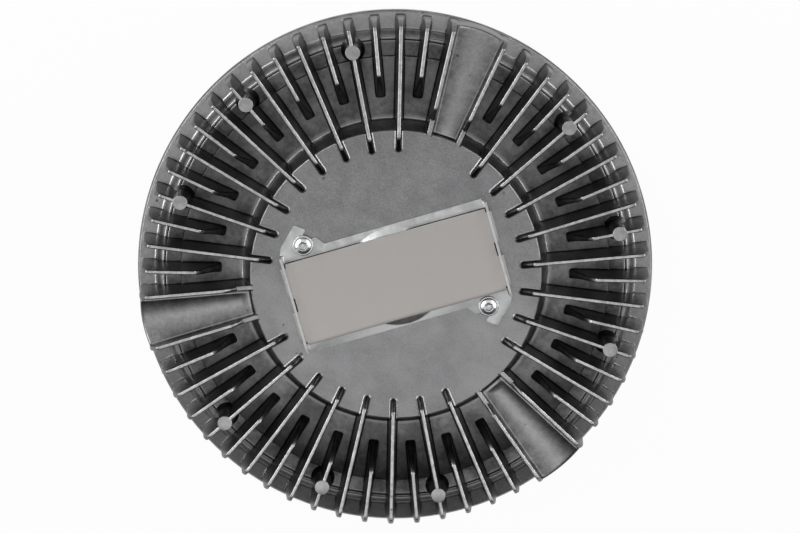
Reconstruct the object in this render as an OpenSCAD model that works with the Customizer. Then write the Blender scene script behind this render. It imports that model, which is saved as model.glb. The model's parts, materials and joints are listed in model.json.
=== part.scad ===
// Viscous fan clutch. A finned die-cast housing turns on a ball bearing around a flanged shaft,
// and silicone fluid between interleaved rings couples it to the rotor on that shaft.
// A bimetal strip on the front lets a pin move out as it warms, and the pin frees a valve arm inside.
// Z is the axis, the front is up, and the rear face of the shaft flange lies on z = 0.

/* [Front cover] */
// Outer diameter of the rim
rim_d = 250; // [246:1:254]
// Height of the joint between the two castings
joint_z = 45; // [44.5:0.5:47]
// Rim face above the joint
rim_h = 10.5; // [9.5:0.5:11.5]
// Radial width of the rounded edge outside the rim face
rim_shoulder = 1; // [0.6:0.1:2.6]
// Radial width of the rim face
rim_face_w = 7.6; // [5:0.1:8]
// Fall of the rim face toward its edge
rim_fall = 1.2; // [0.6:0.1:2]
// Floor between the fins above the joint
floor_h = 16.9; // [16.4:0.1:18]
// Drop at the outer edge of that floor
floor_step = 1.5; // [1:0.1:2]
// Distance of the outer edge of that floor from the rim edge
floor_in = 21.5; // [20.5:0.5:23]
// Distance of the outer edge of the band around it from the rim edge
band_in = 12.5; // [11.8:0.1:14.5]
// Centre plateau above the joint
plateau_h = 34.5; // [33:0.5:36]
// Diameter of the flat centre plateau
plateau_d = 139; // [137:1:141]
// Outward lean of the plateau wall, from its top to its foot
plateau_lean = 4; // [2:0.5:5]
// Wall thickness of the casting
cover_wall = 4.9; // [4.5:0.1:5.4]

/* [Front fins] */
// Fin tops above the plateau
fin_rise = 4.8; // [3.5:0.1:6]
// Width of a fin at its tip
fin_tip_w = 2; // [1.7:0.1:2.8]
// Draft of a fin's sides in degrees
fin_draft = 2.9; // [1.5:0.1:3.2]
// Radius at which a long fin starts, on the plateau
long_foot_r = 59.8; // [58.5:0.1:62]
// Length of a long fin's ramp
long_ramp = 6.2; // [5:0.1:7.5]
// Radius at which a short fin starts, on the floor
short_foot_r = 84.3; // [82:0.1:88]
// Length of a short fin's ramp
short_ramp = 10.7; // [9:0.1:12]
// Radius at which the fins beside a pad start to rise
wall_foot_r = 76; // [75:0.1:78]
// Length of the ramp on the fins beside a pad
wall_ramp = 5.5; // [4.5:0.1:6.5]
// Distance of a fin's end from the rim edge, at its top
fin_end_in = 5.1; // [4.6:0.1:7]
// Distance of a fin's end from the rim edge, at its foot
fin_foot_in = 2.6; // [2.5:0.1:3.4]
// Diameter of the ejector posts on the fins
post_d = 7.2; // [6.6:0.1:8]
// Distance of the posts and the cover bolts from the rim edge
bolt_in = 16.7; // [16.2:0.1:17.2]

/* [Pads] */
// Top of a pad above the joint
pad_h = 32.5; // [31:0.5:33]
// Gap between a pad's inner end and the plateau edge
pad_groove = 1.5; // [1.1:0.1:3.5]
// Depth of a pad's hollow as a share of its half width
pad_hollow = 0.45; // [0.3:0.05:0.5]
// Width of the ledge on each side of the hollow
pad_ledge = 1.2; // [0.8:0.1:1.6]

/* [Rear housing] */
// Rear housing rim inside the cover rim
housing_inset = 2.5; // [2.2:0.1:3.5]
// Thickness of the bolting flange
bolt_flange_t = 8; // [7:0.5:9]
// Depth of the rear half of the fluid chamber
chamber_drop = 2; // [1.8:0.1:2.4]
// Thickness of the rear wall
rear_wall = 7; // [6:0.5:8]
// Number of cooling ribs on the rear
rib_count = 24; // [18:6:30]
// Thickness of a rear rib
rib_t = 3; // [2.5:0.1:4]
// Wall around the bearing
hub_wall = 10; // [8:0.5:11]

/* [Fan mounting] */
// Distance of the register that centres the fan from the edge of the fan land
fan_register_in = 17.5; // [16.5:0.5:19.5]
// Height of that register
fan_register_h = 4; // [3:0.5:5]
// Wall of that register
fan_register_wall = 4; // [3.5:0.5:5]
// Distance of the fan screws from the edge of the fan land
fan_hole_in = 8.5; // [7.5:0.5:9.5]
// Number of fan screws
fan_holes = 6; // [4:1:8]
// Core diameter of the M8 thread for a fan screw
fan_thread_d = 6.8; // [6.6:0.1:7]
// Depth of that thread
fan_thread_depth = 12; // [9:0.5:12.5]
// Face of the fan land below the joint
fan_land_drop = 17; // [16.5:0.5:18]
// Distance of the edge of the fan land from the rim edge
fan_land_in = 26.5; // [25.5:0.5:28]

/* [Cover bolts and seal] */
// Diameter of the cover bolts
bolt_d = 6; // [5:0.5:6]
// Thread engaged in the cover
bolt_engage = 12; // [9:0.5:12.5]
// Width across the flats of the bolt head
bolt_head_w = 8; // [8:0.5:10]
// Height of the bolt head with its flange
bolt_head_h = 5.6; // [5:0.1:6.5]
// Diameter of the flange of the head
bolt_flange_d = 12.4; // [11.6:0.2:12.8]
// Thickness of the cover seal
seal_t = 2; // [1.6:0.1:2.2]

/* [Shaft] */
// Diameter of the shaft flange
flange_d = 112; // [110:1:118]
// Thickness of the shaft flange
flange_t = 9; // [8:0.5:10]
// Bolt circle of the shaft flange
flange_pcd = 92; // [90:1:96]
// Number of holes in the shaft flange
flange_holes = 4; // [3:1:6]
// Diameter of those holes
flange_hole_d = 8.5; // [8.2:0.1:9]
// Diameter of the pilot bore in the rear of the flange
pilot_d = 25; // [22:1:28]
// Depth of the pilot bore
pilot_depth = 12; // [10:0.5:14]
// Diameter of the shoulder that the bearing rests on
neck_d = 37; // [35:0.5:38]
// Diameter of the shaft in the rotor
rotor_seat_d = 26; // [24:0.5:28]

/* [Bearing] */
// Bore of the bearing
bearing_bore = 30; // [29:0.5:30]
// Outer diameter of the bearing
bearing_d = 62; // [61:0.5:63]
// Width of the bearing
bearing_w = 16; // [15.5:0.5:17]
// Height of the bearing's rear face
bearing_z = 18; // [17.5:0.5:18.5]
// Diameter of the balls
ball_d = 9.525; // [9:0.005:9.6]
// Number of balls
ball_count = 9; // [7:1:10]

/* [Rotor] */
// Distance of the fluid chamber's wall from the rim edge
chamber_in = 25.5; // [25:0.25:26]
// Gap between the rotor's edge and the chamber
rotor_gap = 0.9; // [0.7:0.1:1.2]
// Thickness of the rotor disc
rotor_t = 5; // [4.5:0.1:5.5]
// Gap between the rotor disc and the rear housing
rotor_back_gap = 1.5; // [1.2:0.1:1.8]
// Room for the wiper outside the last coupling ring
ring_room = 3.5; // [3.2:0.1:4.5]
// Thickness of a coupling ring
ring_t = 1.5; // [1.3:0.05:1.6]
// Gap between a rotor ring and a cover ring
ring_gap = 0.5; // [0.4:0.05:0.6]
// Gap at the tip of a coupling ring
ring_tip_gap = 1; // [0.8:0.1:1.2]
// Diameter of the rotor hub
rotor_hub_d = 46; // [44:0.5:48]

/* [Valve] */
// Diameter of the fluid reservoir
tank_d = 120; // [116:1:122]
// Overlap of the separator plate on the casting around the reservoir
plate_lap = 8; // [7:0.5:8.5]
// Thickness of the separator plate
plate_t = 1.5; // [1.2:0.1:1.8]
// Diameter of the valve port
port_d = 8; // [6:0.5:9]
// Distance of the valve port from the axis
port_r = 46; // [42:0.5:48]
// Distance of the valve hinge from the axis
hinge_r = 32; // [28:0.5:36]
// Width of the valve arm
arm_w = 9; // [8:0.5:10]
// Thickness of the valve arm
arm_t = 1; // [0.8:0.1:1.2]
// Diameter of the control pin
pin_d = 5; // [4.5:0.1:5.5]
// Outer diameter of the pin bush
bush_d = 10; // [9.4:0.1:11]

/* [Bimetal control] */
// Length of the bracket
bracket_l = 99.3; // [97:0.1:101]
// Width of the bracket's base
bracket_w = 49.3; // [48:0.1:51]
// Sheet thickness of the bracket
bracket_t = 1.2; // [1:0.1:1.5]
// Height of the bracket's end walls
bracket_wall_h = 9; // [8:0.1:10]
// Width of the bracket's end walls
bracket_wall_w = 47; // [45:0.1:48]
// Turn of the bracket about the axis in degrees
bracket_turn = 34.85; // [0:0.05:90]
// Diameter of the round hump in the bracket's base
hump_d = 48; // [46:0.5:48.5]
// Height of that hump
hump_h = 2; // [1.4:0.1:2.4]
// Place of the screws along the bracket
ear_u = 38.6; // [37:0.1:40]
// Place of the screws across the bracket
ear_v = 26.1; // [25:0.1:27]
// Width of the slots in the ears
ear_slot_w = 6; // [5.6:0.1:6.4]
// Width of the bimetal strip
strip_w = 40.5; // [39:0.1:42]
// Thickness of the bimetal strip
strip_t = 0.8; // [0.6:0.1:1]
// Height of the strip's ends above the plateau
strip_h = 5.8; // [5.5:0.1:6.2]
// Inward bow of the cold strip
strip_bow = 1.2; // [0.8:0.1:1.4]
// Width of a tongue at the strip's ends
tongue_w = 15.2; // [14:0.1:16]
// Gap between the two tongues
tongue_gap = 6.5; // [5.5:0.1:7.5]
// How far the tongues reach through the walls
tongue_out = 2.2; // [1.8:0.1:3]
// Thread diameter of the bracket screws
ear_screw_d = 5; // [4.5:0.5:5]
// Head diameter of the bracket screws
ear_head_d = 9.6; // [9:0.1:10]

/* [Hidden] */
$fn = 96;
// Clearance of a seat that doesn't move
seat_clear = 0.02;
// Clearance of a running fit
run_clear = 0.05;
// Gap between pieces that move past each other
free_gap = 0.3;
// Overlap that joins the pieces of one casting
bite = 2;
// Small edge break
edge = 0.8;
// Fins stand at every 6 degrees, and every twentieth place is a pad
fin_places = 60;
fin_step = 360 / fin_places;
pad_every = 20;
bolt_count = 12;
first_pad = 90;

rim_r = rim_d / 2;
rim_z = joint_z + rim_h;
floor_z = joint_z + floor_h;
floor_r = rim_r - floor_in;
band_r = rim_r - band_in;
band_z = floor_z - floor_step;
face_in_r = rim_r - rim_shoulder - rim_face_w;
edge_z = rim_z - rim_fall;
plateau_z = joint_z + plateau_h;
plateau_r = plateau_d / 2;
plateau_foot_r = plateau_r + plateau_lean;
fin_top = plateau_z + fin_rise;
post_top = fin_top + 0.1;
bolt_r = rim_r - bolt_in;
pad_z = joint_z + pad_h;
pad_in_r = plateau_r + pad_groove;
pad_draft = 1.4;

chamber_r = rim_r - chamber_in;
roof_z = floor_z - cover_wall;
tank_r = tank_d / 2;
tank_top = plateau_z - cover_wall;
housing_r = rim_r - housing_inset;
housing_floor = joint_z - chamber_drop;
bolt_seat_z = joint_z - bolt_flange_t;
rear_z = housing_floor - rear_wall;
land_z = joint_z - fan_land_drop;
land_r = rim_r - fan_land_in;
register_r = land_r - fan_register_in;
fan_hole_r = land_r - fan_hole_in;
register_z = land_z - fan_register_h;

bearing_r = bearing_d / 2;
bore_r = bearing_bore / 2;
bearing_mid = bearing_z + bearing_w / 2;
bearing_top = bearing_z + bearing_w;
ball_r = ball_d / 2;
pitch_r = (bearing_r + bore_r) / 2;
race_t = 4.6;
shield_t = 0.8;
shield_in = 0.2;
cage_t = 2.2;
circlip_t = 1.4;
circlip_w = 3.4;
circlip_bite = 1.4;
circlip_gap = 12;
hub_r = bearing_r + hub_wall;
hub_z = bearing_z - circlip_t - 2.6;
shoulder_r = bearing_r - 4;

rotor_r = chamber_r - rotor_gap;
rotor_z = housing_floor + rotor_back_gap;
rotor_top = rotor_z + rotor_t;
rotor_hub_top = rotor_top + 0.5;
rotor_hub_r = rotor_hub_d / 2;
rotor_seat_r = rotor_seat_d / 2;
neck_r = neck_d / 2;
snap_t = 1.3;
snap_bite = 1.2;
snap_w = 3.4;
snap_gap = 6;
shaft_top = rotor_hub_top + snap_t + 2;

plate_r = tank_r + plate_lap;
plate_z = roof_z - plate_t;
plate_screw_r = (plate_r + tank_r) / 2;
plate_screw_d = 3;
plate_screw_head_d = 5.6;
plate_screw_head_h = 1.7;
plate_screw_l = 8;
plate_screws = 6;
ring_in_r = plate_r + 4;
ring_pitch = 2 * (ring_t + ring_gap);
// As many coupling rings as fit between the plate and the wiper
ring_count = floor((chamber_r - ring_room - ring_in_r) / ring_pitch + 0.001);
ring_end_r = ring_in_r + ring_count * ring_pitch;

hinge_pin_d = 2.4;
hinge_roll_t = 0.9;
hinge_roll_r = hinge_pin_d / 2 + run_clear + hinge_roll_t;
hinge_z = roof_z + free_gap + hinge_roll_r;
hinge_ear_t = 1.2;
arm_z = roof_z + free_gap;
arm_pad_d = port_d + 5;
pin_foot_z = arm_z + arm_t + 0.1;
bush_rise = 9;
bush_z = roof_z + bush_rise;
guide_r = bush_d / 2 + 3.5;
boss_r = 7.5;
boss_z = plateau_z + 2;
pin_seal_t = (bush_d - pin_d) / 2;
pin_seal_top = plateau_z - 0.5;
bush_top = pin_seal_top - pin_seal_t;

passage_d = 3.4;
passage_r = chamber_r - 2.2;
passage_z = floor_z + passage_d / 2 + 0.6;
wiper_l = 12;
wiper_stud_d = 2;
wiper_stud_l = 3;
wiper_turn = first_pad - 6;
wiper_in_r = ring_end_r - ring_gap + 0.3;

strip_end_z = plateau_z + strip_h;
wall_in_u = bracket_l / 2 - bracket_t;
strip_r = (wall_in_u * wall_in_u + strip_bow * strip_bow) / (2 * strip_bow);
strip_mid_z = strip_end_z - strip_bow;
pin_head_z = strip_mid_z - strip_t / 2 - 0.1;
base_top = plateau_z + bracket_t;
slot_play = 0.25;
ear_out = 9.2;
ear_tip = 7;
ear_prong = 4.6;
ear_root = 8;
ear_angle = atan2(ear_v, -ear_u);
ear_screw_l = 10;
ear_head_h = 3.2;
ear_washer_t = 0.9;
ear_boss_d = 12;
hump_hole_d = 2 * boss_r + 3;
hump_run = 3.2;

// Copies turned evenly about the axis
module around(count, start = 0) {
    for (i = [0 : count - 1])
        rotate(start + i * 360 / count)
            children();
}

// A side view in radius and height, made into a slab of the given thickness on the X axis
module slab(side, thick) {
    rotate([90, 0, 0])
        translate([0, 0, -thick / 2])
            linear_extrude(thick)
                polygon(side);
}

// One drafted fin on the X axis: side view, cross section and plan meet in it
module fin(side, foot_r) {
    root = fin_tip_w / 2 + (fin_top - joint_z) * tan(fin_draft);
    tip = fin_tip_w / 2;
    cap = tip * 0.45;
    nose = tip + (fin_top - floor_z) * tan(fin_draft);
    intersection() {
        slab(side, 4 * root);
        rotate([90, 0, 90])
            linear_extrude(rim_r + bite)
                polygon([[-root, joint_z], [root, joint_z], [tip, fin_top - cap], [tip - cap, fin_top],
                         [cap - tip, fin_top], [-tip, fin_top - cap]]);
        translate([0, 0, joint_z])
            linear_extrude(fin_top)
                polygon([[foot_r, nose * 0.4], [foot_r + nose * 0.3, nose * 0.8], [foot_r + nose, nose * 1.1],
                         [rim_r, 2 * root], [rim_r, -2 * root], [foot_r + nose, -nose * 1.1],
                         [foot_r + nose * 0.3, -nose * 0.8], [foot_r, -nose * 0.4]]);
    }
}

// The outer end that all fins share, from the top down into the rim
fin_end_slope = (fin_end_in - fin_foot_in) / (fin_top - edge - rim_z);
function fin_end() = [
    [rim_r - fin_end_in - edge, fin_top],
    [rim_r - fin_end_in, fin_top - edge],
    [rim_r - fin_foot_in + fin_end_slope * bite, rim_z - bite],
    [floor_r + edge, rim_z - bite],
    [floor_r + edge, floor_z - bite]
];

function long_side() = concat(
    [[plateau_r - bite, floor_z - bite], [plateau_r - bite, plateau_z - bite], [long_foot_r, plateau_z - bite],
     [long_foot_r, plateau_z + 0.2], [long_foot_r + 0.25 * long_ramp, plateau_z + 0.45 * fin_rise],
     [long_foot_r + 0.9 * long_ramp, fin_top - 0.15], [long_foot_r + 1.2 * long_ramp, fin_top]],
    fin_end());

function short_side() = concat(
    [[short_foot_r, floor_z - bite], [short_foot_r, floor_z + 0.4],
     [short_foot_r + 0.9 * short_ramp, fin_top - 1.2], [short_foot_r + 1.1 * short_ramp, fin_top]],
    fin_end());

function wall_side() = concat(
    [[plateau_r - bite, floor_z - bite], [plateau_r - bite, plateau_z], [wall_foot_r, plateau_z],
     [wall_foot_r + 0.9 * wall_ramp, fin_top - 0.4], [wall_foot_r + 1.2 * wall_ramp, fin_top]],
    fin_end());

// Half width of the hollow of a pad at a radius
function hollow_w(r) = r * tan(fin_step) - fin_tip_w / 2 - (fin_top - pad_z) * tan(fin_draft) - pad_ledge;
function hollow_r(r) = hollow_w(r) * (1 + pad_hollow * pad_hollow) / (2 * pad_hollow);
function hollow_z(r) = pad_z + hollow_r(r) - hollow_w(r) * pad_hollow;

// A pad between two fins, on the X axis, hollowed by a leaning cone
module pad() {
    reach = rim_r * tan(fin_step);
    lean = atan2(hollow_z(rim_r) - hollow_z(pad_in_r), rim_r - pad_in_r);
    span = (rim_r - pad_in_r) / cos(lean);
    grow = (hollow_r(rim_r) - hollow_r(pad_in_r)) / span;
    difference() {
        intersection() {
            rotate_extrude()
                polygon([[pad_in_r, floor_z - bite], [pad_in_r, pad_z], [rim_r - pad_draft, pad_z],
                         [rim_r, joint_z + rim_h / 3], [rim_r, joint_z + 1], [floor_r + edge, joint_z + 1],
                         [floor_r + edge, floor_z - bite]]);
            translate([0, 0, joint_z])
                linear_extrude(pad_h + 1)
                    polygon([[pad_in_r - bite, -(pad_in_r - bite) * tan(fin_step)], [rim_r, -reach],
                             [rim_r + bite, -reach], [rim_r + bite, reach], [rim_r, reach],
                             [pad_in_r - bite, (pad_in_r - bite) * tan(fin_step)]]);
        }
        translate([pad_in_r, 0, hollow_z(pad_in_r)])
            rotate([0, 90 - lean, 0])
                translate([0, 0, -bite])
                    cylinder(h = span + 3 * bite, r1 = hollow_r(pad_in_r) - bite * grow,
                             r2 = hollow_r(rim_r) + 2 * bite * grow);
    }
}

// Both castings and the rotor carry rings that pass each other with the fluid between them
function cover_rings() = [
    for (i = [ring_count - 1 : -1 : 0])
        let (a = ring_in_r + i * ring_pitch + ring_t + ring_gap)
            each [[a + ring_t, roof_z], [a + ring_t, rotor_top + ring_tip_gap],
                  [a, rotor_top + ring_tip_gap], [a, roof_z]]
];
function rotor_rings() = [
    for (i = [0 : ring_count - 1])
        let (a = ring_in_r + i * ring_pitch)
            each [[a, rotor_top], [a, roof_z - ring_tip_gap], [a + ring_t, roof_z - ring_tip_gap],
                  [a + ring_t, rotor_top]]
];

module cover_body() {
    rotate_extrude()
        polygon(concat(
            [[0, boss_z], [boss_r, boss_z], [boss_r, plateau_z], [plateau_r - edge / 2, plateau_z],
             [plateau_r + edge / 4, plateau_z - edge], [plateau_foot_r - edge / 4, floor_z + edge],
             [plateau_foot_r + edge, floor_z], [floor_r - edge / 2, floor_z], [floor_r, floor_z - edge / 2],
             [floor_r, band_z], [band_r, band_z - 0.2], [face_in_r, rim_z], [rim_r - rim_shoulder, edge_z],
             [rim_r - 0.3 * rim_shoulder, edge_z - 0.4 * rim_shoulder], [rim_r, edge_z - 1.3 * rim_shoulder],
             [rim_r, joint_z + edge / 2], [rim_r - edge / 2, joint_z],
             [chamber_r, joint_z], [chamber_r, roof_z]],
            cover_rings(),
            [[tank_r, roof_z], [tank_r, tank_top - bite], [tank_r - bite, tank_top], [guide_r, tank_top],
             [guide_r, bush_z], [0, bush_z]]));
}

// Places of the two bracket screws, half a turn apart
module at_ears() {
    rotate(bracket_turn)
        for (s = [1, -1])
            translate([-s * ear_u, s * ear_v, 0])
                children();
}

module front_cover() {
    color([0.52, 0.52, 0.53])
        difference() {
            union() {
                cover_body();
                for (k = [1 : fin_places - 1]) {
                    place = k % pad_every;
                    if (place == 1 || place == pad_every - 1)
                        rotate(first_pad + k * fin_step)
                            fin(wall_side(), plateau_r - bite - 3);
                    else if (place % 2 == 1)
                        rotate(first_pad + k * fin_step)
                            fin(long_side(), long_foot_r);
                    else if (place != 0)
                        rotate(first_pad + k * fin_step)
                            fin(short_side(), short_foot_r);
                }
                for (k = [0 : bolt_count - 1])
                    if (k % 4 != 0)
                        rotate(first_pad + k * 360 / bolt_count)
                            translate([bolt_r, 0, floor_z - bite - 1])
                                cylinder(h = post_top - floor_z + bite + 1, d = post_d);
                around(3, first_pad)
                    pad();
                at_ears()
                    translate([0, 0, base_top - ear_screw_l - bite])
                        cylinder(h = tank_top - base_top + ear_screw_l + bite + 1, d = ear_boss_d);
            }
            // Bore of the control pin, with the seat of its seal and bush
            translate([0, 0, bush_z - 1])
                cylinder(h = pin_seal_top - bush_z + 1, d = bush_d + 2 * seat_clear);
            translate([0, 0, bush_z])
                cylinder(h = boss_z, d = pin_d + 2 * run_clear);
            at_ears()
                translate([0, 0, base_top - ear_screw_l - 1])
                    cylinder(h = ear_screw_l + 2, d = ear_screw_d + 2 * run_clear);
            around(bolt_count, first_pad)
                translate([bolt_r, 0, joint_z - 1])
                    cylinder(h = bolt_engage + 2, d = bolt_d + 2 * run_clear);
            around(plate_screws)
                translate([plate_screw_r, 0, roof_z - 1])
                    cylinder(h = plate_screw_l - plate_t + 2, d = plate_screw_d + 2 * run_clear);
            // Return passage, from the rotor's edge through the first pad to the reservoir
            rotate(first_pad) {
                translate([passage_r, 0, roof_z - 1])
                    cylinder(h = passage_z - roof_z + 1, d = passage_d);
                translate([tank_r - 1, 0, passage_z])
                    rotate([0, 90, 0])
                        cylinder(h = passage_r - tank_r + 1 + passage_d / 2, d = passage_d);
            }
            rotate(wiper_turn)
                translate([(wiper_in_r + chamber_r) / 2, 0, roof_z - 1])
                    cylinder(h = wiper_stud_l + 1.3, d = wiper_stud_d + 2 * seat_clear);
        }
}

module rear_housing() {
    groove_r = chamber_r + 1.2;
    color([0.5, 0.5, 0.51])
        difference() {
            union() {
                rotate_extrude()
                    polygon([[shoulder_r, bearing_top], [shoulder_r, housing_floor], [chamber_r, housing_floor],
                             [chamber_r, joint_z], [housing_r, joint_z], [housing_r, bolt_seat_z + edge],
                             [housing_r - edge, bolt_seat_z], [land_r + edge, bolt_seat_z], [land_r, land_z + edge],
                             [land_r - edge, land_z], [register_r, land_z], [register_r, register_z + edge / 2],
                             [register_r - edge / 2, register_z], [register_r - fan_register_wall, register_z],
                             [register_r - fan_register_wall - 1, rear_z], [hub_r + 1, rear_z],
                             [hub_r, hub_z + edge], [hub_r - edge, hub_z], [bearing_r + seat_clear, hub_z],
                             [bearing_r + seat_clear, bearing_top]]);
                around(rib_count, first_pad)
                    slab([[hub_r - edge, rear_z + 1], [hub_r - edge, hub_z + 4], [hub_r + 5, hub_z + 7],
                          [register_r - fan_register_wall + 1, register_z + 1],
                          [register_r - fan_register_wall + 1, rear_z + 1]], rib_t);
            }
            translate([0, 0, bearing_z - circlip_t - 0.15])
                cylinder(h = circlip_t + 0.15, r = bearing_r + circlip_bite + 0.1);
            // Groove of the cover seal
            rotate_extrude()
                translate([groove_r, joint_z - seal_t])
                    square([seal_t * 1.2, seal_t + 1]);
            around(bolt_count, first_pad)
                translate([bolt_r, 0, bolt_seat_z - 1])
                    cylinder(h = bolt_flange_t + 2, d = bolt_d + 0.4);
            around(fan_holes, first_pad)
                translate([fan_hole_r, 0, land_z - 1])
                    cylinder(h = fan_thread_depth + 1, d = fan_thread_d);
        }
}

// Ring of round section, flattened a little where the castings press it
module cover_seal() {
    color([0.08, 0.08, 0.08])
        rotate_extrude()
            translate([chamber_r + 1.2 + 0.6 * seal_t, joint_z - seal_t / 2])
                intersection() {
                    circle(d = seal_t * 1.15, $fn = 48);
                    square([2 * seal_t, seal_t], center = true);
                }
}

module cover_bolts() {
    color([0.7, 0.71, 0.72])
        around(bolt_count, first_pad)
            translate([bolt_r, 0, bolt_seat_z]) {
                cylinder(h = bolt_flange_t + bolt_engage, d = bolt_d);
                translate([0, 0, -1.4])
                    cylinder(h = 1.4, d = bolt_flange_d);
                difference() {
                    translate([0, 0, -bolt_head_h])
                        cylinder(h = bolt_head_h, d = bolt_head_w / cos(30), $fn = 6);
                    translate([0, 0, -bolt_head_h - 1])
                        cylinder(h = 2, d = bolt_head_w * 0.6);
                }
            }
}

module input_shaft() {
    color([0.45, 0.45, 0.46])
        difference() {
            rotate_extrude()
                polygon([[0, 0], [flange_d / 2 - edge, 0], [flange_d / 2, edge], [flange_d / 2, flange_t - edge],
                         [flange_d / 2 - edge, flange_t], [neck_r + 3, flange_t], [neck_r, flange_t + 3],
                         [neck_r, bearing_z], [bore_r - seat_clear, bearing_z], [bore_r - seat_clear, bearing_top],
                         [rotor_seat_r, bearing_top], [rotor_seat_r, rotor_hub_top],
                         [rotor_seat_r - snap_bite, rotor_hub_top], [rotor_seat_r - snap_bite, rotor_hub_top + snap_t + 0.1],
                         [rotor_seat_r, rotor_hub_top + snap_t + 0.1], [rotor_seat_r, shaft_top - edge],
                         [rotor_seat_r - edge, shaft_top], [0, shaft_top]]);
            translate([0, 0, -1])
                cylinder(h = pilot_depth + 1, d = pilot_d);
            translate([0, 0, -1])
                cylinder(h = 2, d1 = pilot_d + 4, d2 = pilot_d);
            around(flange_holes, first_pad / 2)
                translate([flange_pcd / 2, 0, -1])
                    cylinder(h = flange_t + 2, d = flange_hole_d);
        }
}

module clutch_rotor() {
    spacer_r = neck_r;
    color([0.62, 0.62, 0.63])
        rotate_extrude()
            polygon(concat(
                [[rotor_seat_r + seat_clear, bearing_top], [rotor_seat_r + seat_clear, rotor_hub_top],
                 [rotor_hub_r, rotor_hub_top], [rotor_hub_r, rotor_top]],
                rotor_rings(),
                [[rotor_r, rotor_top], [rotor_r, rotor_z], [rotor_hub_r, rotor_z],
                 [rotor_hub_r, bearing_top + 2], [spacer_r, bearing_top + 2], [spacer_r, bearing_top]]));
}

// A split ring with a gap at one side
module split_ring(z, thick, inner, outer, gap) {
    difference() {
        translate([0, 0, z])
            cylinder(h = thick, r = outer);
        translate([0, 0, z - 1])
            cylinder(h = thick + 2, r = inner);
        translate([0, -gap / 2, z - 1])
            cube([2 * outer, gap, thick + 2]);
    }
}

module rotor_snap_ring() {
    color([0.35, 0.35, 0.36])
        split_ring(rotor_hub_top, snap_t, rotor_seat_r - snap_bite + seat_clear,
                   rotor_seat_r - snap_bite + snap_w, snap_gap);
}

module bearing_circlip() {
    outer = bearing_r + circlip_bite;
    color([0.35, 0.35, 0.36])
        split_ring(bearing_z - circlip_t, circlip_t, outer - circlip_w, outer, circlip_gap);
}

// A race between two radii, with the groove that the balls run in
module race(inner, outer) {
    difference() {
        rotate_extrude()
            translate([inner, bearing_z])
                square([outer - inner, bearing_w]);
        rotate_extrude()
            translate([pitch_r, bearing_mid])
                circle(r = ball_r + run_clear);
    }
}

module bearing_outer_race() {
    color([0.72, 0.72, 0.73])
        race(bearing_r - race_t, bearing_r);
}

module bearing_inner_race() {
    color([0.72, 0.72, 0.73])
        race(bore_r, bore_r + race_t);
}

module bearing_balls() {
    color([0.85, 0.85, 0.86])
        around(ball_count)
            translate([pitch_r, 0, bearing_mid])
                sphere(ball_r);
}

module bearing_cage() {
    cage_h = ball_d + 2.2;
    color([0.62, 0.5, 0.25])
        difference() {
            rotate_extrude()
                translate([pitch_r - cage_t / 2, bearing_mid - cage_h / 2])
                    square([cage_t, cage_h]);
            around(ball_count)
                translate([pitch_r, 0, bearing_mid])
                    sphere(ball_r + run_clear);
        }
}

module shield(z) {
    rotate_extrude()
        translate([bore_r + race_t + run_clear, z])
            square([bearing_r - bore_r - 2 * race_t - run_clear - seat_clear, shield_t]);
}

module bearing_shield_front() {
    color([0.12, 0.12, 0.12])
        shield(bearing_top - shield_in - shield_t);
}

module bearing_shield_rear() {
    color([0.12, 0.12, 0.12])
        shield(bearing_z + shield_in);
}

// Plate between the reservoir and the rotor, with the valve port and two ears for the arm's hinge
module separator_plate() {
    ear_h = hinge_z - roof_z;
    color([0.68, 0.68, 0.66]) {
        difference() {
            union() {
                translate([0, 0, plate_z])
                    cylinder(h = plate_t, r = plate_r);
                for (s = [1, -1])
                    translate([-hinge_r, s * (arm_w / 2 + free_gap + hinge_ear_t / 2), roof_z - 0.5])
                        rotate([90, 0, 0])
                            translate([0, 0, -hinge_ear_t / 2])
                                linear_extrude(hinge_ear_t)
                                    union() {
                                        translate([-hinge_roll_r, 0])
                                            square([2 * hinge_roll_r, ear_h + 0.5]);
                                        translate([0, ear_h + 0.5])
                                            circle(r = hinge_roll_r - 0.1);
                                    }
            }
            translate([port_r, 0, plate_z - 1])
                cylinder(h = plate_t + 2, d = port_d);
            around(plate_screws)
                translate([plate_screw_r, 0, plate_z - 1])
                    cylinder(h = plate_t + 2, d = plate_screw_d + 0.2);
            translate([-hinge_r, 0, hinge_z])
                rotate([90, 0, 0])
                    cylinder(h = arm_w + 6, d = hinge_pin_d + 2 * seat_clear, center = true);
        }
    }
}

module separator_screws() {
    color([0.7, 0.71, 0.72])
        around(plate_screws)
            translate([plate_screw_r, 0, plate_z]) {
                cylinder(h = plate_screw_l, d = plate_screw_d);
                difference() {
                    translate([0, 0, -plate_screw_head_h])
                        cylinder(h = plate_screw_head_h, d = plate_screw_head_d);
                    translate([0, 0, -plate_screw_head_h - 1])
                        cylinder(h = 2, d = 2.4, $fn = 6);
                }
            }
}

module valve_hinge_pin() {
    color([0.7, 0.7, 0.71])
        translate([-hinge_r, 0, hinge_z])
            rotate([90, 0, 0])
                cylinder(h = arm_w + 2 * free_gap + 2 * hinge_ear_t + 1, d = hinge_pin_d, center = true);
}

module valve_arm() {
    color([0.66, 0.62, 0.52])
        difference() {
            union() {
                translate([-hinge_r, -arm_w / 2, arm_z])
                    cube([hinge_r + port_r, arm_w, arm_t]);
                translate([port_r, 0, arm_z])
                    cylinder(h = arm_t, d = arm_pad_d);
                translate([-hinge_r, 0, hinge_z])
                    rotate([90, 0, 0])
                        cylinder(h = arm_w, r = hinge_roll_r, center = true);
            }
            translate([-hinge_r, 0, hinge_z])
                rotate([90, 0, 0])
                    cylinder(h = arm_w + 2, d = hinge_pin_d + 2 * run_clear, center = true);
        }
}

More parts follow.
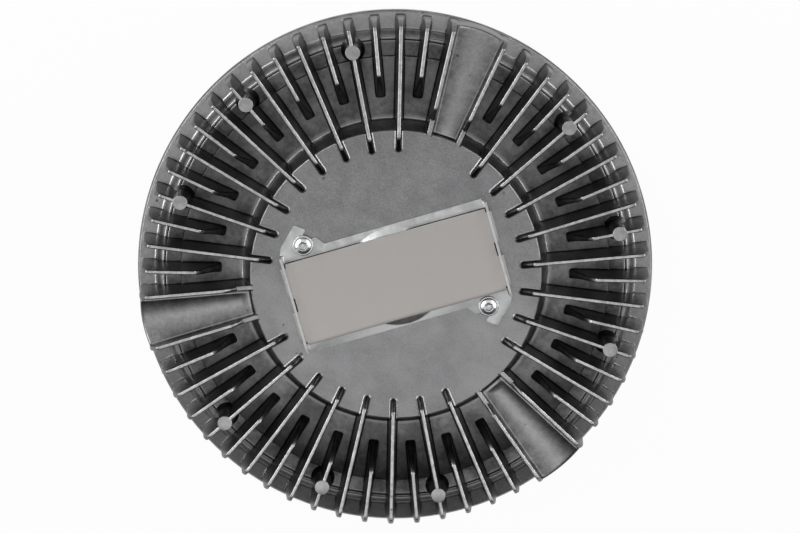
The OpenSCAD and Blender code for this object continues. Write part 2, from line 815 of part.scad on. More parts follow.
// Pin with a domed head that bears on the strip
module control_pin() {
    color([0.75, 0.75, 0.76])
        rotate_extrude()
            polygon([[0, pin_foot_z], [pin_d / 2 - edge, pin_foot_z], [pin_d / 2, pin_foot_z + edge],
                     [pin_d / 2, pin_head_z - edge], [pin_d / 2 - edge, pin_head_z - edge / 4], [0, pin_head_z]]);
}

module pin_bush() {
    color([0.7, 0.58, 0.3])
        difference() {
            translate([0, 0, bush_z])
                cylinder(h = bush_top - bush_z, d = bush_d);
            translate([0, 0, bush_z - 1])
                cylinder(h = bush_top - bush_z + 2, d = pin_d + 2 * run_clear);
        }
}

module pin_seal() {
    color([0.08, 0.08, 0.08])
        rotate_extrude()
            translate([(pin_d + bush_d) / 4, pin_seal_top - pin_seal_t / 2])
                circle(d = pin_seal_t - 2 * run_clear, $fn = 48);
}

// Small dam that lifts the fluid from the rotor's edge into the return passage
module pump_wiper() {
    outer = chamber_r - seat_clear;
    color([0.2, 0.2, 0.21])
        rotate(wiper_turn) {
            intersection() {
                translate([0, 0, rotor_top + free_gap])
                    linear_extrude(roof_z - rotor_top - free_gap)
                        difference() {
                            circle(r = outer);
                            circle(r = wiper_in_r);
                        }
                translate([wiper_in_r / 2, -wiper_l / 2, rotor_top])
                    cube([wiper_in_r, wiper_l, roof_z - rotor_top]);
            }
            translate([(wiper_in_r + chamber_r) / 2, 0, roof_z - 1])
                cylinder(h = wiper_stud_l + 1, d = wiper_stud_d);
        }
}

// Outline of one ear: a lug and a short prong beside the open slot that the screw stands in
module ear_outline() {
    translate([-ear_u, ear_v])
        rotate(ear_angle)
            difference() {
                union() {
                    polygon([[0, ear_root], [ear_out - 1.2, ear_root], [ear_out, ear_root / 2],
                             [ear_out - 1.2, -ear_tip], [0, -ear_tip]]);
                    translate([-ear_out, -ear_prong])
                        square([ear_out + 1, ear_prong + ear_root]);
                }
                circle(d = ear_slot_w);
                translate([-ear_slot_w / 2, -ear_tip - 5])
                    square([ear_slot_w, ear_tip + 5]);
            }
}

module bracket_outline() {
    difference() {
        union() {
            square([bracket_l, bracket_w], center = true);
            ear_outline();
            rotate(180)
                ear_outline();
        }
        for (s = [0, 180])
            rotate(s)
                translate([-ear_u, ear_v])
                    rotate(ear_angle) {
                        circle(d = ear_slot_w);
                        translate([-ear_slot_w / 2, -ear_tip - 5])
                            square([ear_slot_w, ear_tip + 5]);
                    }
        circle(d = hump_d - 2);
    }
}

module bimetal_bracket() {
    hump_r = hump_d / 2;
    color([0.72, 0.72, 0.7])
        rotate(bracket_turn) {
            translate([0, 0, plateau_z])
                linear_extrude(bracket_t)
                    bracket_outline();
            rotate_extrude()
                translate([0, plateau_z])
                    polygon([[hump_r, 0], [hump_r, bracket_t], [hump_r - 0.6, bracket_t + 0.25],
                             [hump_r - 0.6 - hump_run, bracket_t + hump_h - 0.25],
                             [hump_r - 1.4 - hump_run, bracket_t + hump_h], [hump_hole_d / 2, bracket_t + hump_h],
                             [hump_hole_d / 2, hump_h], [hump_r - 1.1 - hump_run, hump_h], [hump_r - 0.9, 0]]);
            for (s = [1, -1])
                translate([s * (wall_in_u + bracket_t / 2), 0, plateau_z])
                    difference() {
                        translate([-bracket_t / 2, -bracket_wall_w / 2, 0])
                            cube([bracket_t, bracket_wall_w, bracket_wall_h]);
                        for (t = [1, -1])
                            translate([0, t * (tongue_gap + tongue_w) / 2, strip_h])
                                cube([2 * bracket_t, tongue_w + 2 * slot_play, strip_t + 2 * slot_play], center = true);
                    }
        }
}

// Strip bowed toward the plateau while cold, with two tongues at each end
module bimetal_strip() {
    reach = bracket_l / 2 + tongue_out;
    color([0.66, 0.63, 0.6])
        rotate(bracket_turn)
            intersection() {
                translate([0, 0, strip_mid_z + strip_r])
                    rotate([90, 0, 0])
                        translate([0, 0, -strip_w])
                            linear_extrude(2 * strip_w)
                                difference() {
                                    circle(r = strip_r + strip_t / 2, $fn = 720);
                                    circle(r = strip_r - strip_t / 2, $fn = 720);
                                }
                translate([0, 0, plateau_z])
                    linear_extrude(strip_h + strip_t + 3)
                        union() {
                            square([2 * wall_in_u - 2 * slot_play, strip_w], center = true);
                            for (t = [1, -1])
                                translate([0, t * (tongue_gap + tongue_w) / 2])
                                    square([2 * reach, tongue_w], center = true);
                        }
            }
}

// Pan-head screws with a washer face and a six-lobed recess
module bracket_screws() {
    color([0.76, 0.77, 0.78])
        at_ears()
            translate([0, 0, base_top])
                difference() {
                    union() {
                        translate([0, 0, -ear_screw_l])
                            cylinder(h = ear_screw_l + 0.1, d = ear_screw_d);
                        cylinder(h = ear_washer_t, d = ear_head_d);
                        translate([0, 0, ear_washer_t - 0.1])
                            cylinder(h = ear_head_h * 0.45, d = ear_head_d * 0.82);
                        translate([0, 0, ear_washer_t + ear_head_h * 0.45 - 0.1])
                            cylinder(h = ear_head_h * 0.55 - ear_washer_t + 0.1, d1 = ear_head_d * 0.82, d2 = ear_head_d * 0.58);
                    }
                    translate([0, 0, ear_head_h * 0.4])
                        linear_extrude(ear_head_h)
                            union() {
                                circle(d = ear_head_d * 0.34);
                                for (i = [0 : 5])
                                    rotate(i * 60)
                                        translate([ear_head_d * 0.18, 0])
                                            circle(d = ear_head_d * 0.12, $fn = 24);
                            }
                }
}

front_cover();
rear_housing();
cover_seal();
cover_bolts();
input_shaft();
clutch_rotor();
rotor_snap_ring();
bearing_outer_race();
bearing_inner_race();
bearing_balls();
bearing_cage();
bearing_shield_front();
bearing_shield_rear();
bearing_circlip();
separator_plate();
separator_screws();
valve_hinge_pin();
valve_arm();
control_pin();
pin_bush();
pin_seal();
pump_wiper();
bimetal_bracket();
bimetal_strip();
bracket_screws();
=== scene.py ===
# %% [markdown]
# # Viscous fan clutch: looks
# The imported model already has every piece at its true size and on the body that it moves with.
# This lesson dresses it: a finned die casting, a zinc-plated bracket, a bimetal strip and their screws.
# Lengths are written in millimetres, as on a drawing, and turned into metres when a mesh is made.

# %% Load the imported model
import json
import math

import bmesh
import bpy
from mathutils import Matrix, Vector

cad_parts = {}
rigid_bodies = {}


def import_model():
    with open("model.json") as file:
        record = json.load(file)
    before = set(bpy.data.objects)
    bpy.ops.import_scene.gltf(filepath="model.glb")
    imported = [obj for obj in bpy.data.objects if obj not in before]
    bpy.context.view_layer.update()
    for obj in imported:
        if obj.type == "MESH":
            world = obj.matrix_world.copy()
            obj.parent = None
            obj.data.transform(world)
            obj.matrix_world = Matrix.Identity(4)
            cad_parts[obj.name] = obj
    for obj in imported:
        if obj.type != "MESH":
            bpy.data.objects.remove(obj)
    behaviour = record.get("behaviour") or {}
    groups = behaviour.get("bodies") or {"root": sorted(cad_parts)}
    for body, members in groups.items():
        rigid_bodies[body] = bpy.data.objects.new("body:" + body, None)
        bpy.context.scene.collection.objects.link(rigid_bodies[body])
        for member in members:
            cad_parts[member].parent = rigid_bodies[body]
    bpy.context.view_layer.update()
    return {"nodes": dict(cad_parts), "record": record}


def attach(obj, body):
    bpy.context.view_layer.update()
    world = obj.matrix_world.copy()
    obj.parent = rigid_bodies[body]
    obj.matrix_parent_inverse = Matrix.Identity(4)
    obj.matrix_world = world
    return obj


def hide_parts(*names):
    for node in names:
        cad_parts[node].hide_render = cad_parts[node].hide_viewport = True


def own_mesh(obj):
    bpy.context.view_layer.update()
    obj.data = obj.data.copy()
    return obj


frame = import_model()
MM = 0.001

# %% [markdown]
# ## Camera
# The product lies on its back and is seen from the front, eight degrees off its axis, with a long lens.
# A long lens far away keeps the rim close to a circle. The turn about the axis puts one hollow pad
# at the upper right. The small step aside places the rim in the frame without any lens shift.

# %% Camera
VIEW_TURN = math.radians(19.17)
VIEW_TILT = math.radians(8.3)
VIEW_SIDE = math.radians(-0.68)
RIM_HEIGHT = 0.048


def add_object(name, data):
    thing = bpy.data.objects.new(name, data)
    bpy.context.scene.collection.objects.link(thing)
    return thing


def add_camera(distance, lens, right_mm, up_mm):
    turn = Matrix.Rotation(VIEW_TURN, 3, "Z")
    lean = math.cos(VIEW_TILT)
    back = turn @ Vector((math.sin(VIEW_SIDE) * lean, math.sin(VIEW_TILT), math.cos(VIEW_SIDE) * lean))
    right = turn @ Vector((math.cos(VIEW_SIDE), 0, -math.sin(VIEW_SIDE)))
    up = back.cross(right)
    data = bpy.data.cameras.new("front_view")
    data.lens = lens
    data.sensor_width = 36
    data.clip_end = 50
    camera = add_object("front_view", data)
    aside = right_mm * MM * right + up_mm * MM * up
    camera.location = Vector((0, 0, RIM_HEIGHT)) + distance * back + aside
    camera.rotation_euler = Matrix((right, up, back)).transposed().to_euler()
    bpy.context.scene.camera = camera
    return camera


camera = add_camera(distance=1.4, lens=129.1, right_mm=2.31, up_mm=-0.28)
print("camera at", [round(v, 3) for v in camera.location])

# %% [markdown]
# ## Studio
# Bare cast metal shows its surroundings, so the light is drawn as panels around the object. Two wide
# panels at the picture's left and right draw the white lines on the rounded steps. A panel beyond the top
# edge and a small one over the bottom edge light the noses of the fins. The room has a grey ceiling that
# stops short of the bottom edge, and dark ends, which leaves the deep gaps between the fins dark as well.
# The floor is white to the camera and a light grey to shiny surfaces. Where it ends, the camera sees white.


# %% Node helpers
def feed(tree, slot, value):
    """Links a socket to the slot, or types in a number, a vector or a colour."""
    if isinstance(value, bpy.types.NodeSocket):
        tree.links.new(value, slot)
    else:
        slot.default_value = (*value, 1) if slot.type == "RGBA" else value


def add_node(tree, kind, inputs=None, **settings):
    """A new node with these settings. Its inputs, by name or number, are fed, and its outputs come back."""
    node = tree.nodes.new(kind)
    for label, value in settings.items():
        setattr(node, label, value)
    for slot, value in (inputs or {}).items():
        feed(tree, node.inputs[slot], value)
    return node.outputs


def add_math(tree, operation, *values, clamp=False):
    inputs = dict(enumerate(values))
    return add_node(tree, "ShaderNodeMath", inputs, operation=operation, use_clamp=clamp)["Value"]


def add_mix(tree, factor, low, high):
    """A number that goes from low to high with the factor."""
    inputs = {"Factor": factor, "A": low, "B": high}
    return add_node(tree, "ShaderNodeMix", inputs, data_type="FLOAT")["Result"]


def add_range(tree, value, low, high, to_low=0.0, to_high=1.0):
    """A smooth ramp from to_low, at low, to to_high, at high."""
    inputs = {"Value": value, "From Min": low, "From Max": high, "To Min": to_low, "To Max": to_high}
    return add_node(tree, "ShaderNodeMapRange", inputs, interpolation_type="SMOOTHSTEP")["Result"]


def split(tree, vector):
    """The X, Y and Z sockets of a vector."""
    return add_node(tree, "ShaderNodeSeparateXYZ", {"Vector": vector})


# %% Panels
bpy.context.scene.view_settings.view_transform = "Standard"
PANEL_AIM = Vector((0, 0, 0.06))


def add_panel(name, azimuth, elevation, distance, width, height, radiance):
    """A soft panel aimed at the object. Azimuth 0 is the picture's right and 90 its top edge."""
    a = math.radians(azimuth) + VIEW_TURN
    e = math.radians(elevation)
    away = Vector((math.cos(a) * math.cos(e), math.sin(a) * math.cos(e), math.sin(e)))
    data = bpy.data.lights.new(name, "AREA")
    data.shape = "RECTANGLE"
    data.size = width
    data.size_y = height
    data.energy = radiance * math.pi * width * height
    lamp = add_object(name, data)
    lamp.location = PANEL_AIM + distance * away
    lamp.rotation_euler = away.to_track_quat("Z", "Y").to_euler()


panels = [  # name, azimuth, elevation, distance, width, height, radiance
    ("left_panel", 158, 31, 1.6, 1.9, 0.5, 6.0),
    ("right_panel", 20, 31, 1.6, 1.6, 0.5, 5.2),
    ("top_panel", 92, 46, 1.6, 1.6, 0.6, 0.8),
    ("near_panel", 270, 72, 0.55, 0.42, 0.2, 0.7),
]
for panel in panels:
    add_panel(*panel)
print("panels:", len(panels))


# %% Room and floor
def room_shading(overhead, sides, ends, backdrop):
    """Grey room: a ceiling that stops short of the picture's bottom edge, grey sides and dark ends."""
    world = bpy.data.worlds.new("studio_room")
    bpy.context.scene.world = world
    world.use_nodes = True
    tree = world.node_tree
    around = {"Vector": add_node(tree, "ShaderNodeTexCoord")["Generated"], "Rotation": (0, 0, VIEW_TURN)}
    x, y, z = split(tree, add_node(tree, "ShaderNodeMapping", around, vector_type="TEXTURE")["Vector"])
    walls = add_mix(tree, add_math(tree, "MULTIPLY", x, x), ends, sides)
    ceiling = add_math(tree, "MULTIPLY", add_range(tree, z, 0.60, 0.96), add_range(tree, y, -0.41, -0.33))
    room = add_mix(tree, ceiling, walls, overhead)
    seen = add_node(tree, "ShaderNodeLightPath")["Is Camera Ray"]
    feed(tree, tree.nodes["Background"].inputs["Color"], add_mix(tree, seen, room, backdrop))


def add_floor(half, drop, white_share, mirrored_tone):
    """Pale floor. The camera sees mostly plain white, shiny surfaces a grey, and the rest shows the shadow."""
    mesh = bpy.data.meshes.new("floor")
    corners = [(half * x, half * y, -drop) for x, y in ((-1, -1), (1, -1), (1, 1), (-1, 1))]
    mesh.from_pydata(corners, [], [(0, 1, 2, 3)])
    floor = add_object("floor", mesh)
    paint = bpy.data.materials.new("pale_floor")
    paint.use_nodes = True
    tree = paint.node_tree
    tree.nodes.clear()
    rays = add_node(tree, "ShaderNodeLightPath")
    tone = add_mix(tree, rays["Is Glossy Ray"], 1.0, mirrored_tone)
    glow = add_node(tree, "ShaderNodeEmission", {"Color": (1, 1, 1), "Strength": tone})["Emission"]
    matte = add_node(tree, "ShaderNodeBsdfDiffuse", {"Color": (0.86, 0.86, 0.86)})["BSDF"]
    seen = add_math(tree, "ADD", rays["Is Camera Ray"], rays["Is Glossy Ray"])
    seen = add_math(tree, "ADD", seen, rays["Is Transmission Ray"])
    share = add_math(tree, "MULTIPLY", seen, white_share, clamp=True)
    blend = add_node(tree, "ShaderNodeMixShader", {"Fac": share, 1: matte, 2: glow})["Shader"]
    add_node(tree, "ShaderNodeOutputMaterial", {"Surface": blend})
    mesh.materials.append(paint)


room_shading(overhead=0.60, sides=0.12, ends=0.02, backdrop=0.97)
add_floor(half=4.0, drop=0.0002, white_share=0.95, mirrored_tone=0.75)
print("studio ready")

# %% [markdown]
# ## Shared surface effects
# Several metals share a few effects: the grain and mottle of a cast skin, the fine lines that rolling
# leaves on sheet, and the rings that a lathe leaves. Each is built once as a node group that puts out
# masks only. Each material then decides what the masks do to its colour, roughness and bump.


# %% Effect helpers
def new_effect(name, inputs, outputs):
    """A shader group with float inputs and outputs: the group, its inputs and the object's coordinates."""
    group = bpy.data.node_groups.new(name, "ShaderNodeTree")
    for label, value in inputs.items():
        socket = group.interface.new_socket(label, in_out="INPUT", socket_type="NodeSocketFloat")
        socket.default_value = value
    for label in outputs:
        group.interface.new_socket(label, in_out="OUTPUT", socket_type="NodeSocketFloat")
    return group, add_node(group, "NodeGroupInput"), add_node(group, "ShaderNodeTexCoord")["Object"]


def add_noise(tree, vector, scale, detail=2.0, rough=0.5):
    inputs = {"Vector": vector, "Scale": scale, "Detail": detail, "Roughness": rough}
    return add_node(tree, "ShaderNodeTexNoise", inputs)["Fac"]


def turn_about_axis(tree, vector, angle):
    inputs = {"Vector": vector, "Angle": angle}
    return add_node(tree, "ShaderNodeVectorRotate", inputs, rotation_type="Z_AXIS")["Vector"]


# %% Cast skin, rolled lines and turned rings
def cast_skin_effect():
    """Die-cast skin: fine grain, cloudy flow marks, small mottle and a few pits."""
    group, start, where = new_effect("cast skin", {"Grain Scale": 1400.0, "Cloud Scale": 70.0},
                                     ["Grain", "Cloud", "Mottle", "Pits"])
    cloud = add_noise(group, where, start["Cloud Scale"], 5.0, 0.62)
    mottle = add_noise(group, where, 420.0, 3.0, 0.6)
    cells = add_node(group, "ShaderNodeTexVoronoi", {"Vector": where, "Scale": 150.0})["Distance"]
    near = add_range(group, cells, 0.05, 0.16, 1.0, 0.0)
    rare = add_range(group, add_noise(group, where, 45.0, 1.0), 0.6, 0.68)
    add_node(group, "NodeGroupOutput", {
        "Grain": add_noise(group, where, start["Grain Scale"], 3.0, 0.6),
        "Cloud": add_range(group, cloud, 0.3, 0.7), "Mottle": add_range(group, mottle, 0.35, 0.65),
        "Pits": add_math(group, "MULTIPLY", near, rare)})
    return group


def rolled_lines_effect():
    """Fine straight lines of rolled sheet, turned to lie along it, with a soft bloom of the plating."""
    group, start, where = new_effect("rolled lines", {"Turn": 0.0, "Fineness": 900.0}, ["Lines", "Bloom"])
    stretch = {0: turn_about_axis(group, where, start["Turn"]), 1: (0.06, 1.0, 1.0)}
    along = add_node(group, "ShaderNodeVectorMath", stretch, operation="MULTIPLY")["Vector"]
    add_node(group, "NodeGroupOutput", {
        "Lines": add_noise(group, along, start["Fineness"]),
        "Bloom": add_range(group, add_noise(group, where, 160.0, 4.0, 0.65), 0.3, 0.7)})
    return group


def turned_rings_effect():
    """Rings left by a lathe tool, around the turning axis, with uneven depth."""
    group, start, where = new_effect("turned rings", {"Pitch": 0.0006}, ["Rings", "Drift"])
    x, y, z = split(group, where)
    square = add_math(group, "ADD", add_math(group, "MULTIPLY", x, x), add_math(group, "MULTIPLY", y, y))
    along = add_math(group, "ADD", add_math(group, "SQRT", square), z)
    phase = add_math(group, "MULTIPLY", add_math(group, "DIVIDE", along, start["Pitch"]), 2 * math.pi)
    wave = add_math(group, "MULTIPLY_ADD", add_math(group, "SINE", phase), 0.5, 0.5)
    drift = add_noise(group, where, 60.0, 3.0)
    uneven = add_range(group, drift, 0.2, 0.7, 0.4, 1.0)
    add_node(group, "NodeGroupOutput", {"Rings": add_math(group, "MULTIPLY", wave, uneven), "Drift": drift})
    return group


CAST_SKIN = cast_skin_effect()
ROLLED_LINES = rolled_lines_effect()
TURNED_RINGS = turned_rings_effect()
print("effects:", CAST_SKIN.name, ROLLED_LINES.name, TURNED_RINGS.name)

# %% [markdown]
# ## Finishes
# Every finish is one Principled shader. A finish is described by two colours and two roughness values,
# and a mask from one of the shared effects moves between them. The bump comes from the same effect.
# The casting also reads two masks that its own mesh carries. One brightens fin tips and ejector posts, as wear
# and partly painted highlight, and paints highlights on pad creases, rounded steps, the wall's foot and the rim
# face. The shaded mask is painted shade on fin sides, walls, floors and steps, varied in blotches, and the
# deepest are painted nearly black. On the bracket, the band under the strip carries a painted shadow.

# %% Finish helpers
CAST_BUMP, MOULD_BUMP, LINE_BUMP = 0.00004, 0.00003, 0.00002


def new_finish(name, effect, values, metallic=1.0):
    """A material with one shared effect: the material, its tree, its shader's inputs and the masks."""
    paint = bpy.data.materials.new(name)
    paint.use_nodes = True
    tree = paint.node_tree
    shader = tree.nodes["Principled BSDF"].inputs
    shader["Metallic"].default_value = metallic
    return paint, tree, shader, add_node(tree, "ShaderNodeGroup", values, node_tree=effect)


def add_tint(tree, factor, low, high):
    """A colour that goes from low to high with the factor. A colour may be a socket."""
    return add_node(tree, "ShaderNodeMix", {0: factor, 6: low, 7: high}, data_type="RGBA")[2]


def read_mask(tree, name):
    return add_node(tree, "ShaderNodeAttribute", attribute_name=name)["Fac"]


def darker(colour, share):
    return tuple(share * c for c in colour)


def dress(tree, shader, colour, rough, height, distance, strength):
    """Plugs colour, roughness and a bump into the shader."""
    inputs = {"Height": height, "Distance": distance, "Strength": strength}
    bump = add_node(tree, "ShaderNodeBump", inputs)["Normal"]
    for label, source in (("Base Color", colour), ("Roughness", rough), ("Normal", bump)):
        feed(tree, shader[label], source)


# %% Cast aluminium
def cast_finish(name, dark, light, tip, rough_low, rough_high):
    """Cast skin. With a tip colour, it also reads two masks of the mesh: a brightening for wear and painted
    highlight, and painted shade.
    """
    paint, tree, shader, skin = new_finish(name, CAST_SKIN, {"Grain Scale": 1400.0, "Cloud Scale": 70.0})
    tone = add_mix(tree, 0.45, add_range(tree, skin["Grain"], 0.3, 0.7), skin["Cloud"])
    colour = add_tint(tree, tone, dark, light)
    if tip:
        # Worn metal and painted highlight: the tip colour, brought in by the brightening mask.
        bright = add_tint(tree, skin["Mottle"], darker(tip, 0.7), tip)
        colour = add_tint(tree, read_mask(tree, "rubbed"), colour, bright)
        # Painted shade from the shaded mask, varied in blotches.
        shaded = read_mask(tree, "shaded")
        blotch = add_mix(tree, 0.7, skin["Mottle"], skin["Cloud"])
        blotch_scale = add_range(tree, blotch, 0.0, 1.0, 1.4, 0.6)
        painted_shade = add_math(tree, "MULTIPLY", shaded, blotch_scale, clamp=True)
        colour = add_tint(tree, painted_shade, colour, darker(dark, 0.3))
        # Painted shade: the most shaded places go nearly black.
        colour = add_tint(tree, add_range(tree, shaded, 0.85, 1.0), colour, darker(dark, 0.08))
    colour = add_tint(tree, skin["Pits"], colour, darker(dark, 0.45))
    rough = add_range(tree, skin["Grain"], 0.25, 0.75, rough_low, rough_high)
    height = add_math(tree, "SUBTRACT", skin["Grain"], add_math(tree, "MULTIPLY", skin["Pits"], 2.0))
    dress(tree, shader, colour, rough, height, CAST_BUMP, 0.5)
    return paint


# The tip colour serves for worn tips and for painted highlights.
FRONT_CAST = cast_finish("die_cast_front", (0.22, 0.22, 0.226), (0.38, 0.38, 0.386), (0.66, 0.66, 0.66),
                         0.30, 0.40)
REAR_CAST = cast_finish("die_cast_rear", (0.24, 0.24, 0.244), (0.36, 0.36, 0.362), None, 0.42, 0.54)
print("cast finishes:", FRONT_CAST.name, REAR_CAST.name)


# %% Finishes for sheet, turned and moulded pieces
def sheet_finish(name, dark, light, rough_low, rough_high, turn=0.0, fineness=900.0, bump=0.25, under_strip_shadow=None):
    """Rolled sheet. The optional band, given as (half width, height), is a lengthwise band under another part
    that gets a painted shadow.
    """
    paint, tree, shader, lines = new_finish(name, ROLLED_LINES, {"Turn": turn, "Fineness": fineness})
    colour = add_tint(tree, add_mix(tree, 0.55, lines["Lines"], lines["Bloom"]), dark, light)
    # Painted shade from the shaded mask: the screws' crease and recess, and the strip's edges and underside.
    colour = add_tint(tree, read_mask(tree, "shaded"), colour, darker(dark, 0.12))
    # Painted shadow on the sheet under the bimetal strip.
    if under_strip_shadow:
        half, height = under_strip_shadow
        where = add_node(tree, "ShaderNodeTexCoord")["Object"]
        _, y, z = split(tree, turn_about_axis(tree, where, turn))
        across = add_range(tree, add_math(tree, "ABSOLUTE", y), half - 0.0004, half, 1.0, 0.0)
        painted_shadow = add_math(tree, "MULTIPLY", across, add_math(tree, "LESS_THAN", z, height))
        colour = add_tint(tree, painted_shadow, colour, darker(dark, 0.15))
    rough = add_range(tree, lines["Bloom"], 0.0, 1.0, rough_low, rough_high)
    dress(tree, shader, colour, rough, lines["Lines"], LINE_BUMP, bump)
    return paint


def turned_finish(name, dark, light, rough_low, rough_high, pitch=0.0006, bump=0.3):
    paint, tree, shader, rings = new_finish(name, TURNED_RINGS, {"Pitch": pitch})
    rough = add_range(tree, rings["Rings"], 0.0, 1.0, rough_low, rough_high)
    dress(tree, shader, add_tint(tree, rings["Drift"], dark, light), rough, rings["Rings"], LINE_BUMP, bump)
    return paint


def moulded_finish(name, dark, light, rough_low, rough_high):
    values = {"Grain Scale": 2600.0, "Cloud Scale": 120.0}
    paint, tree, shader, skin = new_finish(name, CAST_SKIN, values, metallic=0.0)
    rough = add_range(tree, skin["Grain"], 0.2, 0.8, rough_low, rough_high)
    dress(tree, shader, add_tint(tree, skin["Cloud"], dark, light), rough, skin["Grain"], MOULD_BUMP, 0.4)
    return paint


# %% Plated sheet, bimetal, turned and ground steel, brass, rubber and plastic
BRACKET_TURN = math.radians(34.85)
ZINC_LOOK = ((0.48, 0.488, 0.488), (0.80, 0.808, 0.806), 0.36, 0.48, -BRACKET_TURN, 900.0, 0.1)
# The band of the bracket under the strip carries a painted shadow.
BRACKET_SHEET = sheet_finish("zinc_plated_bracket", *ZINC_LOOK, under_strip_shadow=(0.0204, 0.0812))
ZINC_SCREW = sheet_finish("zinc_plated_screw", (0.72, 0.73, 0.745), (0.84, 0.845, 0.855), 0.28, 0.36,
                          0.0, 1500.0, 0.05)
BIMETAL = sheet_finish("bimetal_sheet", (0.50, 0.478, 0.457), (0.55, 0.528, 0.507), 0.42, 0.48,
                       -BRACKET_TURN, 1300.0, 0.1)
SLOT_FINISH = {
    "cast_aluminium": REAR_CAST,
    "machined_aluminium": turned_finish("turned_aluminium", (0.58, 0.58, 0.59), (0.70, 0.70, 0.71), 0.26, 0.40),
    "machined_steel": turned_finish("turned_steel", (0.40, 0.40, 0.41), (0.50, 0.50, 0.51), 0.24, 0.40),
    "bearing_steel": turned_finish("ground_steel", (0.64, 0.64, 0.65), (0.76, 0.76, 0.77), 0.12, 0.22,
                                   0.0003, 0.1),
    "bearing_brass": turned_finish("plain_brass", (0.60, 0.48, 0.24), (0.70, 0.58, 0.31), 0.24, 0.38),
    "spring_steel": sheet_finish("oiled_spring_steel", (0.22, 0.22, 0.23), (0.34, 0.34, 0.35), 0.28, 0.42,
                                 0.0, 1200.0),
    "zinc_sheet": sheet_finish("zinc_plated_sheet", *ZINC_LOOK),
    "zinc_fasteners": ZINC_SCREW,
    "bimetal": BIMETAL,
    "seal_rubber": moulded_finish("seal_rubber", (0.035, 0.035, 0.036), (0.06, 0.06, 0.06), 0.55, 0.75),
    "wiper_plastic": moulded_finish("wiper_plastic", (0.13, 0.13, 0.14), (0.19, 0.19, 0.2), 0.42, 0.6),
}
for part in frame["record"]["subparts"]:
    mesh = frame["nodes"][part["node"]].data
    mesh.materials.clear()
    mesh.materials.append(SLOT_FINISH[part["material_slot"]])

# %% [markdown]
# ## Turning a section into a ring
# The casting, the posts and the screw heads are round, so each starts as a section in radius and height.
# A foundry rounds every corner. The first helper does the same to the section's corners, and the others
# turn the section about the axis. A section that starts and ends on the axis closes in two poles.


# %% Section helpers
def rounded(corners, steps=4, closed=True):
    """Corners (x, y, radius, shade) as an outline (x, y, shade), with an arc where there is a radius."""
    outline = []
    last = len(corners) - 1
    for i, (x, y, radius, *shade) in enumerate(corners):
        here = Vector((x, y))
        shade = shade[0] if shade else 0.0
        if radius <= 0 or (not closed and i in (0, last)):
            outline.append((x, y, shade))
            continue
        before = Vector(corners[i - 1][:2]) - here
        after = Vector(corners[(i + 1) % len(corners)][:2]) - here
        half = before.angle(after) / 2
        cut = min(radius / math.tan(half), 0.48 * before.length, 0.48 * after.length)
        radius = cut * math.tan(half)
        centre = here + (before.normalized() + after.normalized()).normalized() * (radius / math.sin(half))
        start = here + before.normalized() * cut - centre
        end = here + after.normalized() * cut - centre
        first = math.atan2(start.y, start.x)
        sweep = (math.atan2(end.y, end.x) - first + math.pi) % (2 * math.pi) - math.pi
        for k in range(steps + 1):
            angle = first + sweep * k / steps
            outline.append((centre.x + radius * math.cos(angle), centre.y + radius * math.sin(angle), shade))
    return outline


def circle(r, z, count):
    return [(r * math.cos(2 * math.pi * k / count), r * math.sin(2 * math.pi * k / count), z)
            for k in range(count)]


def between(a, b, closed=False):
    """Faces between two rows of points. A point that two corners share is taken once."""
    if closed:
        a, b = a + a[:1], b + b[:1]
    faces = [tuple(dict.fromkeys(corners)) for corners in zip(a, a[1:], b[1:], b)]
    return [face for face in faces if len(face) > 2]


def turned(section, segments, closed=True):
    """Points, faces and shades of a section (radius, height, shade) turned about the axis."""
    points, faces, rings, shades = [], [], [], []
    for r, z, shade in section:
        count = 1 if r < 1e-6 else segments
        rings.append(list(range(len(points), len(points) + count)) * (segments // count))
        points += circle(r, z, count)
        shades += [shade] * count
    for a, b in zip(rings, rings[1:] + (rings[:1] if closed else [])):
        faces += between(a, b, closed=True)
    return points, faces, shades


def make_piece(name, points, faces, shaded=None, rubbed=None):
    """A mesh object from millimetre points, faces outwards, with shaded and rubbed masks on its points."""
    mesh = bpy.data.meshes.new(name)
    mesh.from_pydata([tuple(MM * c for c in p) for p in points], [], faces)
    shell = bmesh.new()
    shell.from_mesh(mesh)
    bmesh.ops.recalc_face_normals(shell, faces=shell.faces)
    shell.to_mesh(mesh)
    shell.free()
    for label, values in (("shaded", shaded), ("rubbed", rubbed)):
        mask = mesh.attributes.new(label, "FLOAT", "POINT")
        if values is not None:
            mask.data.foreach_set("value", values)
    return add_object(name, mesh)


# %% [markdown]
# ## Body of the front casting
# The body is a shallow hat: a flat centre, a wall down to a cooling floor, a low step, a sloped shoulder
# and a narrow rim face with a rounded edge. Inside are the fluid chamber with its coupling rings, and
# the reservoir. All of it is one section turned about the axis.

